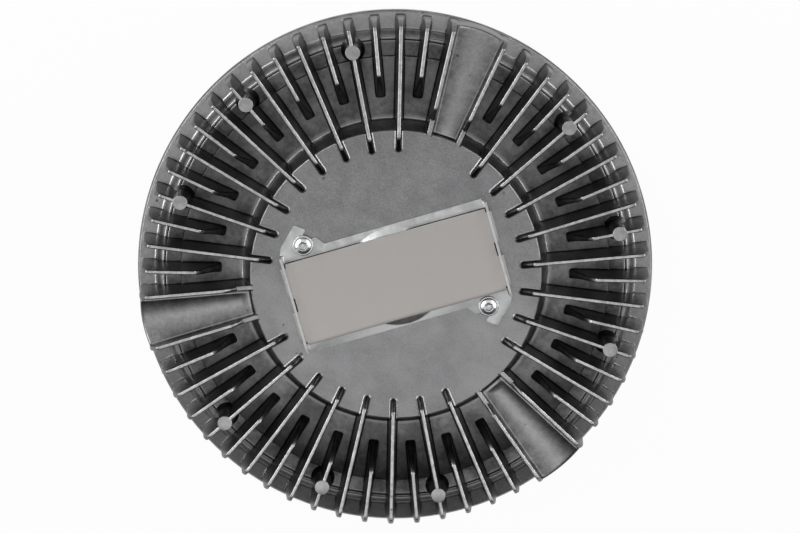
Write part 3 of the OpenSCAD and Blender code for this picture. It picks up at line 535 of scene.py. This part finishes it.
# %% Body section
PLATEAU_Z, FLOOR_Z, RIM_Z, FIN_TOP = 79.5, 61.9, 55.5, 84.3
CHAMBER_Z, RING_END_Z = 57.0, 50.5
coupling_rings = []
for i in range(5, -1, -1):
    inner = 74.0 + 4.0 * i
    coupling_rings += [(inner + 1.5, CHAMBER_Z, 0), (inner + 1.5, RING_END_Z, 0),
                       (inner, RING_END_Z, 0), (inner, CHAMBER_Z, 0)]
# The fourth number is painted shade: wall, floor, low step, groove, shoulder and the rim's outer edge are
# darkened.
body_corners = [  # radius, height, corner radius, shade
    (2.6, 81.5, 0.2), (7.5, 81.5, 0.5), (7.5, PLATEAU_Z, 0.4),  # boss around the pin
    (69.5, PLATEAU_Z, 0.8), (69.95, 77.5, 0, 0.8), (72.7, 65.0, 0, 0.8),  # flat centre and wall
    (73.4, FLOOR_Z, 1.6), (76.0, FLOOR_Z, 0, 0.6), (103.2, FLOOR_Z, 0, 0.6),  # cooling floor
    (103.4, 61.8, 0.1, 1), (103.6, 60.5, 0.1, 1), (104.0, 60.45, 0, 0.75), (110.0, 60.4, 0, 0.65),  # low step
    (110.9, 60.4, 0.8), (111.35, 59.85, 0.1, 1), (111.6, 60.2, 0.1, 0.4),  # parting groove
    (112.6, 60.1, 1.8), (113.9, 58.53, 0, 0.65), (115.2, 56.96, 0, 0.65), (116.4, RIM_Z, 2.0),  # shoulder
    (124.1, 54.3, 0.5), (125.0, 53.0, 0.6, 0.7), (125.0, 45.0, 0.3, 0.2),  # rim
    (99.5, 45.0, 0), (99.5, CHAMBER_Z, 0), *coupling_rings, (60.0, CHAMBER_Z, 0),  # fluid chamber
    (60.0, 74.6, 1.0), (8.5, 74.6, 0), (8.5, 66.0, 0),  # reservoir
    (5.02, 66.0, 0), (5.02, 78.9, 0), (2.6, 78.9, 0),  # bore for the bush of the pin
]


def body_highlight(r, z):
    """Painted highlight: the rim face is brighter, the rounded edges of the shoulder more so, and the wall's
    foot a little.
    """
    if r > 116.6:
        return 0.2
    if 111.9 < r < 113.5 or 115.5 < r:
        return 0.35
    return 0.25 if 72.9 < r < 74.6 and z < 63.4 else 0.0


body_points, body_faces, body_shades = turned(rounded(body_corners, 6), 240)
casting = make_piece("front_casting", body_points, body_faces, body_shades,
                     [body_highlight(math.hypot(x, y), z) for x, y, z in body_points])
print("casting body:", len(casting.data.polygons), "faces")

# %% [markdown]
# ## Fins
# A die-cast fin has draft on its sides, a rounded root, a ramp at its inner end and a rounded outer end.
# It is lofted as columns: each point of its plan outline rises from the casting under it to the fin's top.
# The columns start at the local level of the body, so the root follows floor, step, shoulder and rim.

# %% Fin levels
DRAFT = math.tan(math.radians(3.1))
TIP_HALF, ROOT = 0.85, 0.7
PLATEAU_EDGE = 69.9
BODY_LEVEL = [(69.3, PLATEAU_Z), (69.9, 78.4), (73.1, 63.0), (74.2, FLOOR_Z), (103.2, FLOOR_Z), (103.7, 60.45),
              (112.3, 60.1), (116.2, 55.7), (117.3, 55.4), (124.1, 54.3), (124.8, 53.0), (125.0, 50.0)]


def level_at(table, x):
    """Straight lines between the (x, value) entries of a table."""
    if x <= table[0][0]:
        return table[0][1]
    for (x0, v0), (x1, v1) in zip(table, table[1:]):
        if x <= x1:
            return v0 + (v1 - v0) * (x - x0) / max(x1 - x0, 1e-9)
    return table[-1][1]


def half_width(z):
    return TIP_HALF + (FIN_TOP - z) * DRAFT


def fin_level(kind, value, foot, fillet, spread, top, cap):
    """Height, flare of the root and inset of the rounded tip for one level of a fin."""
    if kind == "root":
        return foot - 0.8, spread + 0.1, 0.0
    if kind == "side":
        return foot + fillet + (top - cap - foot - fillet) * value, 0.0, 0.0
    a = math.radians(value)
    if kind == "foot":
        return foot + fillet * (1 - math.cos(a)) - 0.02, spread * (1 - math.sin(a)), 0.0
    return top - cap * (1 - math.sin(a)), 0.0, cap * (1 - math.cos(a))


def fin_masks(kind, value, where, on_plateau):
    """Painted shade and brightening: shaded sides, tips brightened as wear and painted highlight, and on the
    flat centre a nose painted dark with a painted highlight on its foot.
    """
    if kind == "cap":
        return 0.0, 0.4 if where == "end" else 1.0
    low = kind == "root" or (kind == "foot" and value < 40)
    if on_plateau:
        return (0.0, 0.1) if low else (0.94, 0.0)
    if kind == "root":
        return 0.0, 0.0
    return 0.48 if where == "end" else 0.6, 0.0


print("fin width at tip and floor:", [round(2 * half_width(z), 2) for z in (FIN_TOP, FLOOR_Z)])

# %% Fin loft
END_LONG, END_BLUNT = 1.0, 0.65
FIN_END = [(RIM_Z, 122.9), (76.0, 122.1), (80.0, 121.3), (82.5, 120.3), (FIN_TOP, 118.8)]


def fin_loft(nose_x, stations, base, top=FIN_TOP, end_x=FIN_END, nose_root=None, cap=0.45, blunt=1.0):
    """Points, faces, shaded and rubbed masks of one fin on the X axis. nose_x gives the nose at a height."""
    chain = [("nose", 15.0 * k) for k in range(7)] + [("side", x) for x in stations]
    chain += [("end", 90.0 - 18.0 * k) for k in range(6)]
    levels = [("root", None)] + [("foot", a) for a in (10, 32, 54, 74, 90)]
    levels += [("side", t) for t in (0.22, 0.42, 0.6, 0.76, 0.9, 1.0)] + [("cap", a) for a in (28, 58, 90)]
    points, faces, shades, mask, left, right = [], [], [], [], [], []
    for kind, value in levels:
        left.append([])
        right.append([])
        for where, place in chain:
            foot_x = {"nose": level_at(nose_x, 0), "side": place, "end": level_at(end_x, RIM_Z)}[where]
            foot = base if where == "nose" else level_at(BODY_LEVEL, foot_x)
            on_plateau = nose_root is not None and foot_x < PLATEAU_EDGE
            fillet = nose_root if on_plateau else ROOT
            spread = 0.8 * fillet if where == "end" else fillet
            z, flare, inset = fin_level(kind, value, foot, fillet, spread, top, cap)
            half = half_width(z) - inset
            a = math.radians(place)
            if where == "nose":
                x = level_at(nose_x, z) + half - (half + flare) * math.cos(a) ** blunt
                y = (half + flare) * math.sin(a) ** blunt
            elif where == "side":
                x, y = place, half + flare
            else:
                x = level_at(end_x, z) - inset - END_LONG
                x += (END_LONG + flare) * max(0.0, math.cos(a)) ** END_BLUNT
                y = (half + flare) * max(0.0, math.sin(a)) ** END_BLUNT
            shade, shine = fin_masks(kind, value, where, on_plateau)
            sides = (y,) if abs(y) < 1e-6 else (y, -y)
            left[-1].append(len(points))
            right[-1].append(len(points) + len(sides) - 1)
            points += [(x, side, z) for side in sides]
            shades += [shade] * len(sides)
            mask += [shine] * len(sides)
    for side in (left, right):
        for lower, upper in zip(side, side[1:]):
            faces += between(lower, upper)
    faces += between(left[-1], right[-1]) + between(left[0], right[0])
    return points, faces, shades, mask


# %% Three kinds of fin
OUTER_STATIONS = [102.6, 103.3, 103.8, 104.6, 110.8, 112.2, 113.2, 114.8, 116.2, 117.2]
EDGE_STATIONS = [68.6, 69.3, 69.9, 70.8, 71.8, 72.7, 73.4, 74.2]
LONG_NOSE = [(79.5, 59.8), (80.2, 60.1), (81.2, 61.0), (82.6, 62.9), (83.6, 64.6), (84.3, 66.6)]
SHORT_NOSE = [(62.3, 84.3), (64.0, 84.9), (82.2, 93.3), (83.6, 94.6), (84.3, 96.1)]
WALL_NOSE = [(79.4, 75.2), (79.9, 76.4), (83.0, 80.2), (83.8, 81.2), (84.3, 82.6)]
WALL_END = [(RIM_Z, 124.0), (76.0, 123.3), (79.0, 122.6), (82.0, 121.2), (FIN_TOP, 119.5)]
long_fin = make_piece("long_fin", *fin_loft(LONG_NOSE, EDGE_STATIONS + [76.0, 84.0, 94.0] + OUTER_STATIONS,
                                            PLATEAU_Z, nose_root=1.2))
short_fin = make_piece("short_fin", *fin_loft(SHORT_NOSE, [98.0] + OUTER_STATIONS, FLOOR_Z, blunt=0.5))
wall_points, wall_faces, wall_shades, wall_mask = fin_loft(WALL_NOSE, [85.0, 94.0] + OUTER_STATIONS, FLOOR_Z,
                                                           end_x=WALL_END)
tab_points, tab_faces, tab_shades, tab_mask = fin_loft([(60.0, 66.0)], EDGE_STATIONS, 77.0, PLATEAU_Z - 0.03,
                                                       [(60.0, 78.5)], cap=0.35)
wall_faces += [tuple(i + len(wall_points) for i in face) for face in tab_faces]
wall_fin = make_piece("wall_fin", wall_points + tab_points, wall_faces, wall_shades + tab_shades,
                      wall_mask + [0.4 * v for v in tab_mask])
print("fin faces:", [len(f.data.polygons) for f in (long_fin, short_fin, wall_fin)])

# %% [markdown]
# ## Pads and ejector posts
# Three broad pads fill the gap between two neighbouring fins. Each is hollowed like a gutter that widens
# towards the rim, and its outer end is rounder than the rim. Nine round posts stand on the fins, where the
# ejector pins of the die pushed.

# %% Pad loft
PAD_Z, PAD_LEDGE, PAD_SAG = 77.5, 1.2, 0.18
PAD_HALF_ANGLE = math.radians(6.0)
HOLLOW_START, HOLLOW_RAMP = 75.5, 3.6
END_FACE = 123.2


def pad_across(r):
    """Points across a pad at radius r, as (y, height, shade, brightening): ledge in painted shade, crease with
    a painted highlight, hollow.
    """
    edge = r * math.sin(PAD_HALF_ANGLE)
    w = edge - half_width(PAD_Z) - PAD_LEDGE
    ramp = 1 - ((HOLLOW_START - r) / HOLLOW_RAMP) ** 2 if r < HOLLOW_START else 1.0
    sag = PAD_SAG * min(1.0, max(0.02, ramp))
    radius = w * (1 + sag ** 2) / (2 * sag)
    low = PAD_Z + radius - sag * w
    rim = low - math.sqrt(radius ** 2 - (w - 0.3) ** 2)
    half = [(edge, PAD_Z, 0.8, 0.0), (w + 1.0, PAD_Z, 0.8, 0.0), (w + 0.5, PAD_Z, 0.7, 0.0),
            (w + 0.3, PAD_Z, 0.0, 0.5)]
    for t in (0.75, 0.5, 0.25, 0.0):
        half.append((w - 0.3 + 0.6 * t, rim + (PAD_Z - rim) * (1 - (1 - t) ** 2), 0.6 * (1 - t), 0.5 * t))
    # The hollow gets painted shade towards its sides and a painted highlight in its middle.
    for share in (0.94, 0.87, 0.78, 0.67, 0.54, 0.4, 0.25, 0.12):
        y = share * (w - 0.3)
        half.append((y, low - math.sqrt(radius ** 2 - y * y), 0.6 * share ** 2, 0.12 + 0.14 * (1 - share)))
    middle = [(0.0, low - radius, 0.0, 0.26)]
    return [(-y, z, a, b) for y, z, a, b in half] + middle + half[::-1]


def pull_back(r, y):
    """The outer end is rounder than the rim, so its corners stand back."""
    return 1.1 * (y / (r * math.sin(PAD_HALF_ANGLE))) ** 2 * min(1.0, max(0.0, (r - 117.0) / 5.0))


def pad_loft():
    """Rows at a radius. A height caps the row, and a negative number lowers it at the rounded outer edge."""
    rows = [(69.75, 58.5), (69.8, 70.0), (69.95, 76.6), (70.2, 77.0), (70.5, 77.3)]
    rows += [(r, None) for r in (70.9, 71.4, 71.8, 72.1, 72.4, 72.9, 73.6, 74.5, 75.5, 78, 81, 85, 90, 95, 100,
                                 105, 110, 115, 119, 121.6, 122.4)]
    rows += [(123.0, -0.12), (123.4, -0.45), (123.65, -1.1), (123.8, -3.0), (124.1, 64.0), (124.6, 56.0),
             (124.85, 49.5)]
    points, faces, shades, mask = [], [], [], []
    for r, cap in rows:
        # Painted highlight along the inner crease and the outer edge; painted shade in the inner gap and on the
        # end face.
        lip_highlight = 0.5 if 70.6 < r < 71.5 else 0.3 if 121.5 < r < END_FACE else 0.0
        for y, z, shade, shine in pad_across(r):
            if cap is not None:
                z = z + cap if cap < 0 else min(z, cap)
            points.append((math.sqrt(r * r - y * y) - pull_back(r, y), y, z))
            shades.append(0.8 if r < 70.3 else shade if r < END_FACE else 0.4)
            mask.append(0.0 if r > END_FACE else max(lip_highlight, shine) if shade < 0.65 else shine)
    top = len(points)
    count = top // len(rows)
    for i, (r, _) in enumerate(rows):
        under = 58.0 if r < 122 else 48.8
        points += [(x, y, under) for x, y, _ in points[i * count:(i + 1) * count]]
    upper = [list(range(i * count, (i + 1) * count)) for i in range(len(rows))]
    lower = [[i + top for i in row] for row in upper]
    for sheet in (upper, lower):
        for a, b in zip(sheet, sheet[1:]):
            faces += between(a, b)
    border = upper[0] + [row[-1] for row in upper[1:]]
    border += upper[-1][-2::-1] + [row[0] for row in upper[-2:0:-1]]
    faces += between(border, [i + top for i in border], closed=True)
    return points, faces, shades + [0.0] * top, mask + [0.0] * top


pad = make_piece("pad", *pad_loft())
print("pad faces:", len(pad.data.polygons))

# %% Post
POST_RADIUS, POST_TOP, POST_CIRCLE = 3.6, 84.4, 108.3
# Painted shade on the post's sides; its top is brighter, as worn ejector marks and partly painted highlight.
post_section = rounded([(0, POST_TOP, 0), (POST_RADIUS - 0.1, POST_TOP, 0.25), (POST_RADIUS, 82.5, 0, 0.55),
                        (4.1, 63.2, 1.6, 0.55), (6.0, 60.1, 0.5), (6.0, 58.0, 0), (0, 58.0, 0)], closed=False)
post_points, post_faces, post_shades = turned(post_section, 32, closed=False)
post = make_piece("post", [(x + POST_CIRCLE, y, z) for x, y, z in post_points], post_faces, post_shades,
                  [0.45 if z > POST_TOP - 0.3 else 0.0 for _, _, z in post_points])
print("post faces:", len(post.data.polygons))

# %% [markdown]
# ## Sixty places around the casting
# Fins, pads and posts repeat by a rule: sixty places, six degrees apart. Every twentieth place is a pad,
# the two beside it carry the fins that wall it in, odd places carry long fins and even ones short fins.
# Every fifth place also carries a post, except on the pads. A Geometry Nodes tree counts the places and
# picks what stands there, so the rule is written once, and the result is baked into one plain mesh.


# %% Node tree helpers
def new_tree(name, inputs):
    """A geometry tree for a mesh, with named inputs (label, kind, value): the tree and its inputs."""
    tree = bpy.data.node_groups.new(name, "GeometryNodeTree")
    tree.interface.new_socket("Geometry", in_out="INPUT", socket_type="NodeSocketGeometry")
    for label, kind, *value in inputs:
        item = tree.interface.new_socket(label, in_out="INPUT", socket_type="NodeSocket" + kind)
        if value:
            item.default_value = value[0]
    tree.interface.new_socket("Geometry", in_out="OUTPUT", socket_type="NodeSocketGeometry")
    return tree, add_node(tree, "NodeGroupInput")


def angles_round(tree, start, label):
    """Index, angle about the axis and turn of each place. The input with this label counts the places."""
    index = add_node(tree, "GeometryNodeInputIndex")["Index"]
    step = add_math(tree, "DIVIDE", 2 * math.pi, start[label])
    angle = add_math(tree, "ADD", add_math(tree, "MULTIPLY", index, step), start["First Angle"])
    return index, angle, add_node(tree, "ShaderNodeCombineXYZ", {"Z": angle})["Vector"]


def set_copies(tree, model, dots, turn, pick=True):
    """Copies of a model, turned, on all points or on those that pick chooses."""
    shape = add_node(tree, "GeometryNodeObjectInfo", {"Object": model})["Geometry"]
    inputs = {"Points": dots, "Selection": pick, "Instance": shape, "Rotation": turn}
    return add_node(tree, "GeometryNodeInstanceOnPoints", inputs)["Instances"]


def finish_tree(tree, parts, finish):
    """Joins the parts, makes them real and gives them the finish."""
    join = tree.nodes.new("GeometryNodeJoinGeometry")
    for part in parts:
        tree.links.new(part, join.inputs["Geometry"])
    real = add_node(tree, "GeometryNodeRealizeInstances", {"Geometry": join.outputs["Geometry"]})["Geometry"]
    painted = add_node(tree, "GeometryNodeSetMaterial", {"Geometry": real, "Material": finish})["Geometry"]
    add_node(tree, "NodeGroupOutput", {"Geometry": painted})


def settle(piece, angle):
    """Applies the modifiers of a piece for good, and shades it smooth up to the angle."""
    graph = bpy.context.evaluated_depsgraph_get()
    mesh = bpy.data.meshes.new_from_object(piece.evaluated_get(graph), preserve_all_data_layers=True,
                                           depsgraph=graph)
    piece.modifiers.clear()
    old, piece.data = piece.data, mesh
    bpy.data.meshes.remove(old)
    mesh.name = piece.name
    mesh.shade_smooth()
    mesh.set_sharp_from_angle(angle=math.radians(angle))
    return piece


def bake(piece, tree, values, angle):
    """Runs the tree on the piece with these inputs and keeps the result as a plain mesh."""
    modifier = piece.modifiers.new(tree.name, "NODES")
    modifier.node_group = tree
    for item in tree.interface.items_tree:
        if item.item_type == "SOCKET" and item.in_out == "INPUT" and item.name in values:
            modifier[item.identifier] = values[item.name]
    return settle(piece, angle)


def drop(*helpers):
    for helper in helpers:
        bpy.data.objects.remove(helper)


# %% Places tree
def places_tree():
    kinds = ["Long Fin", "Short Fin", "Wall Fin", "Pad", "Post"]
    tree, start = new_tree("casting places", [
        ("Places", "Int", 60), ("Places per Pad", "Int", 20), ("Places per Post", "Int", 5),
        ("First Angle", "Float", math.pi / 2), ("Finish", "Material"), *[(kind, "Object") for kind in kinds]])
    index, _, turn = angles_round(tree, start, "Places")
    dots = add_node(tree, "GeometryNodePoints", {"Count": start["Places"]})["Points"]

    def equal(a, b):
        inputs = {"A": a, "B": b, "Epsilon": 0.1}
        return add_node(tree, "FunctionNodeCompare", inputs, data_type="FLOAT", operation="EQUAL")["Result"]

    def logic(operation, a, b):
        return add_node(tree, "FunctionNodeBooleanMath", {0: a, 1: b}, operation=operation)["Boolean"]

    place = add_math(tree, "MODULO", index, start["Places per Pad"])
    last = add_math(tree, "SUBTRACT", start["Places per Pad"], 1.0)
    is_pad = equal(place, 0.0)
    is_wall = logic("OR", equal(place, 1.0), equal(place, last))
    is_odd = equal(add_math(tree, "MODULO", place, 2.0), 1.0)
    is_post = equal(add_math(tree, "MODULO", index, start["Places per Post"]), 0.0)
    picks = {"Pad": is_pad, "Wall Fin": is_wall, "Long Fin": logic("NIMPLY", is_odd, is_wall),
             "Short Fin": logic("NOR", is_odd, is_pad), "Post": logic("NIMPLY", is_post, is_pad)}
    parts = [set_copies(tree, start[kind], dots, turn, picks[kind]) for kind in kinds]
    finish_tree(tree, [start["Geometry"], *parts], start["Finish"])
    return tree


bake(casting, places_tree(), {
    "Places": 60, "Places per Pad": 20, "Places per Post": 5, "First Angle": math.pi / 2, "Finish": FRONT_CAST,
    "Long Fin": long_fin, "Short Fin": short_fin, "Wall Fin": wall_fin, "Pad": pad, "Post": post}, 34)
drop(long_fin, short_fin, wall_fin, pad, post)
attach(casting, "housing")
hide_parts("front_cover")
casting.data.calc_loop_triangles()
print("front casting:", len(casting.data.loop_triangles), "triangles")

# %% [markdown]
# ## Bracket
# The bracket is one stamping: a flat base with two slotted ears, a round hump pressed up in its middle,
# and two end walls bent up, each with two slots for the strip. Sheet metal is easiest as its middle
# surface. The flat outline is filled, the walls are folded up from its ends, and then the sheet gets its
# thickness and a small break on every edge.

# %% Bracket outline
SHEET = 1.2
BASE_MID = PLATEAU_Z + SHEET / 2
BEND_U, BEND_R = 49.1, 1.2
WALL_BREAKS = [-23.5, -18.7, -3.0, 3.0, 18.7, 23.5]
WALL_TOP, SLOT_Z, SLOT_HALF = 88.5, 85.3, 0.65
SCREW_U, SCREW_V = -38.6, 26.1
EAR_TURN = math.atan2(SCREW_V, SCREW_U)
EAR_SLOT = 2.7


def ear_corners():
    """Outline of the upper left ear: a short prong, the open slot around the screw, and the lug outside it."""
    c, s = math.cos(EAR_TURN), math.sin(EAR_TURN)
    corners = [(-9.4, -4.0, 0.8), (-4.6, -5.6, 0.4), (-2.7, -4.2, 0.3)]
    corners += [(EAR_SLOT * math.cos(a), EAR_SLOT * math.sin(a), 0)
                for a in (math.radians(degrees) for degrees in range(180, -1, -20))]
    corners += [(1.2, -7.3, 0.8), (7.2, -7.9, 1.2), (9.6, 4.5, 3.0)]
    return [(SCREW_U + a * c - b * s, SCREW_V + a * s + b * c, radius) for a, b, radius in corners]


def bracket_outline():
    half = [(BEND_U, v, 0) for v in WALL_BREAKS] + [(BEND_U - 0.4, 24.65, 0.3)]
    half += ear_corners() + [(-BEND_U - 1.6, 24.2, 0.3)]
    other = [(-x, -y, radius) for x, y, radius in half]
    return [(x, y) for x, y, _ in rounded(half + other)]


print("bracket outline:", len(bracket_outline()), "points")

# %% Bracket middle surface
HUMP_SEGMENTS = 72
HUMP = [(23.5, 0.06), (23.0, 0.25), (20.6, 1.75), (20.1, 1.94), (19.5, 2.0), (15.0, 2.0), (9.0, 2.0)]


def bracket_surface():
    shell = bmesh.new()
    edge = [shell.verts.new((x, y, BASE_MID)) for x, y in bracket_outline()]
    rim = [shell.verts.new(p) for p in circle(24, BASE_MID, HUMP_SEGMENTS)]
    loops = []
    for ring in (edge, rim):
        loops += [shell.edges.new((a, b)) for a, b in zip(ring, ring[1:] + ring[:1])]
    bmesh.ops.triangle_fill(shell, use_beauty=True, edges=loops)
    for r, rise in HUMP:
        ring = [shell.verts.new(p) for p in circle(r, BASE_MID + rise, HUMP_SEGMENTS)]
        for corners in between(rim, ring, closed=True):
            shell.faces.new(corners)
        rim = ring
    path = [(BEND_U + BEND_R * math.sin(a), BASE_MID + BEND_R * (1 - math.cos(a)))
            for a in (math.radians(15 * k) for k in range(1, 7))]
    path += [(BEND_U + BEND_R, z) for z in (SLOT_Z - SLOT_HALF, SLOT_Z + SLOT_HALF, WALL_TOP)]
    slot_row = len(path) - 2
    for side in (1, -1):
        row = [min(edge, key=lambda v: abs(v.co.x - side * BEND_U) + abs(v.co.y - w)) for w in WALL_BREAKS]
        for step, (u, z) in enumerate(path):
            new = [shell.verts.new((side * u, w, z)) for w in WALL_BREAKS]
            for k, corners in enumerate(between(row, new)):
                if step != slot_row or k not in (1, 3):
                    shell.faces.new(corners)
            row = new
    bmesh.ops.recalc_face_normals(shell, faces=shell.faces)
    flat = max(shell.faces, key=lambda f: f.calc_area())
    if flat.normal.z < 0:
        bmesh.ops.reverse_faces(shell, faces=shell.faces)
    return shell


def sheet_piece(name, shell, thickness, edge_break, finish):
    """Gives a middle surface in millimetres its thickness and soft edges, turned to the bracket's angle."""
    mesh = bpy.data.meshes.new(name)
    shell.transform(Matrix.Rotation(BRACKET_TURN, 4, "Z") @ Matrix.Scale(MM, 4))
    shell.to_mesh(mesh)
    shell.free()
    mesh.materials.append(finish)
    piece = add_object(name, mesh)
    wall = piece.modifiers.new("thickness", "SOLIDIFY")
    wall.thickness = thickness * MM
    wall.offset = 0
    wall.use_even_offset = True
    soft = piece.modifiers.new("edge break", "BEVEL")
    soft.width = edge_break * MM
    soft.segments = 2
    soft.limit_method = "ANGLE"
    soft.angle_limit = math.radians(50)
    soft.use_clamp_overlap = True
    return settle(piece, 40)


bracket = sheet_piece("stamped_bracket", bracket_surface(), SHEET, 0.22, BRACKET_SHEET)
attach(bracket, "housing")
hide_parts("bimetal_bracket")
print("bracket:", len(bracket.data.polygons), "faces")

# %% [markdown]
# ## Bimetal strip
# The strip is a plain rectangle of two bonded metals with two tongues at each end, which sit in the slots
# of the bracket's walls. Cold, it bows towards the cover and holds the pin down. It is a grid that follows
# the bow. While the pin moves out, the real strip flattens towards the height of its ends; this mesh keeps the
# cold bow.

# %% Strip
STRIP_T, STRIP_BOW, BOW_HALF = 0.8, 1.2, 48.45
STRIP_INSIDE = 49.2
BREAKS_U = [-51.95, -50.6] + [-STRIP_INSIDE + 2 * STRIP_INSIDE * k / 40 for k in range(41)] + [50.6, 51.95]
BREAKS_V = [-20.25, -18.45, -14.0, -7.0, -3.25, 0.0, 3.25, 7.0, 14.0, 18.45, 20.25]


def strip_surface():
    shell = bmesh.new()
    bow_r = (BOW_HALF ** 2 + STRIP_BOW ** 2) / (2 * STRIP_BOW)
    grid = {}

    def point(i, j):
        if (i, j) not in grid:
            u = BREAKS_U[i]
            grid[i, j] = shell.verts.new((u, BREAKS_V[j], SLOT_Z - STRIP_BOW + u * u / (2 * bow_r)))
        return grid[i, j]

    for i in range(len(BREAKS_U) - 1):
        for j in range(len(BREAKS_V) - 1):
            tongue = 3 < abs(BREAKS_V[j] + BREAKS_V[j + 1]) / 2 < 18.4
            if 2 <= i < len(BREAKS_U) - 3 or tongue:
                shell.faces.new((point(i, j), point(i + 1, j), point(i + 1, j + 1), point(i, j + 1)))
    return shell


strip = sheet_piece("bowed_strip", strip_surface(), STRIP_T, 0.14, BIMETAL)
# Painted shade on the strip's edges and underside, for the dark gap beside it.
edges = strip.data.attributes.new("shaded", "FLOAT", "FACE")
edges.data.foreach_set("value", [0.9 if face.normal.z < 0.3 else 0.0 for face in strip.data.polygons])
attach(strip, "housing")
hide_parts("bimetal_strip")
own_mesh(strip)
print("strip:", len(strip.data.polygons), "faces")

# %% [markdown]
# ## Screws and bolts
# Two screws with washer heads and a six-lobed recess hold the bracket, and twelve flanged bolts come up
# from the rear under the posts and pads. Each kind is modelled once and set on its places by one small
# Geometry Nodes tree, which takes the count, the circle and the first angle.

# %% Screw and bolt models
HEAD_SEGMENTS = 48
HEAD_ANGLES = [2 * math.pi * k / HEAD_SEGMENTS for k in range(HEAD_SEGMENTS)]
BOLT_SEAT = 37.0


def ring_loft(rings):
    """Points and faces of a closed shape from rings of (radius, height) in every direction."""
    points, faces = [], []
    for ring in rings:
        points += [(r * math.cos(a), r * math.sin(a), z) for a, (r, z) in zip(HEAD_ANGLES, ring)]
    rows = [list(range(i * HEAD_SEGMENTS, (i + 1) * HEAD_SEGMENTS)) for i in range(len(rings))]
    for a, b in zip(rows, rows[1:]):
        faces += between(a, b, closed=True)
    return points, faces + [tuple(rows[0]), tuple(rows[-1])]


def screw_model():
    """Pan head on a washer, with the recess cut in as rings that follow six lobes."""
    base = PLATEAU_Z + SHEET
    outside = rounded([(2.5, base - 6.0, 0), (2.5, base, 0), (4.8, base, 0.2), (4.8, base + 0.9, 0.3),
                       (4.1, base + 1.0, 0), (3.95, base + 1.0, 0.15, 0.9), (3.88, base + 1.6, 0),
                       (3.85, base + 2.4, 0.8), (2.35, base + 3.2, 0.7), (2.1, base + 3.2, 0)], closed=False)
    recess = [(1.95, 3.16, 0.09), (1.85, 3.02, 0.1), (1.8, 1.6, 0.1), (1.5, 1.45, 0.08), (0.6, 1.25, 0.0)]
    rings = [[(r, z)] * HEAD_SEGMENTS for r, z, _ in outside]
    rings += [[(r * (1 + lobe * math.cos(6 * a)), base + z) for a in HEAD_ANGLES] for r, z, lobe in recess]
    # Painted shade in the crease between head and washer, and down in the recess.
    shades = [shade for _, _, shade in outside] + [0.85 if 1.55 < z < 3.1 else 0.1 for _, z, _ in recess]
    return *ring_loft(rings), [shade for shade in shades for _ in HEAD_ANGLES]


def bolt_model():
    """Flanged hexagon head that points down, with a rounded flange and a shallow dish in the head."""
    flange = [(3.0, 10.0), (3.0, 0.0), (6.0, 0.0), (6.2, -0.3), (6.1, -0.8), (5.3, -1.4)]
    dish = [(2.6, -5.55), (2.1, -5.0), (0.4, -4.9)]
    flats = [4.0 / math.cos(a % (math.pi / 3) - math.pi / 6) for a in HEAD_ANGLES]
    rings = [[(r, BOLT_SEAT + z)] * HEAD_SEGMENTS for r, z in flange]
    for grow, z in ((1.0, -1.7), (1.0, -4.7), (0.955, -5.35), (0.9, -5.6)):
        rings.append([(min(flat * grow, 4.55), BOLT_SEAT + z) for flat in flats])
    rings += [[(r, BOLT_SEAT + z)] * HEAD_SEGMENTS for r, z in dish]
    return ring_loft(rings)


print("faces of one screw and one bolt:", len(screw_model()[1]), len(bolt_model()[1]))


# %% Circle tree
def circle_tree():
    tree, start = new_tree("fasteners on a circle", [
        ("Count", "Int", 2), ("Circle Radius", "Float", 0.05), ("First Angle", "Float", 0.0),
        ("Fastener", "Object"), ("Finish", "Material")])
    _, angle, turn = angles_round(tree, start, "Count")
    spot = add_node(tree, "ShaderNodeCombineXYZ", {
        axis: add_math(tree, "MULTIPLY", add_math(tree, wave, angle), start["Circle Radius"])
        for axis, wave in (("X", "COSINE"), ("Y", "SINE"))})["Vector"]
    dots = add_node(tree, "GeometryNodePoints", {"Count": start["Count"], "Position": spot})["Points"]
    finish_tree(tree, [set_copies(tree, start["Fastener"], dots, turn)], start["Finish"])
    return tree


def add_fasteners(name, node, model, count, radius, first_angle):
    helper = make_piece(name + "_model", *model)
    piece = make_piece(name, [(0, 0, 0), (1, 0, 0), (0, 1, 0)], [(0, 1, 2)])
    bake(piece, CIRCLE, {"Count": count, "Circle Radius": radius * MM, "First Angle": first_angle,
                         "Fastener": helper, "Finish": ZINC_SCREW}, 38)
    drop(helper)
    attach(piece, "housing")
    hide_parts(node)
    print(name, len(piece.data.polygons), "faces")


CIRCLE = circle_tree()
add_fasteners("washer_head_screws", "bracket_screws", screw_model(), 2, math.hypot(SCREW_U, SCREW_V),
              BRACKET_TURN + EAR_TURN)
add_fasteners("flanged_bolts", "cover_bolts", bolt_model(), 12, POST_CIRCLE, math.pi / 2)
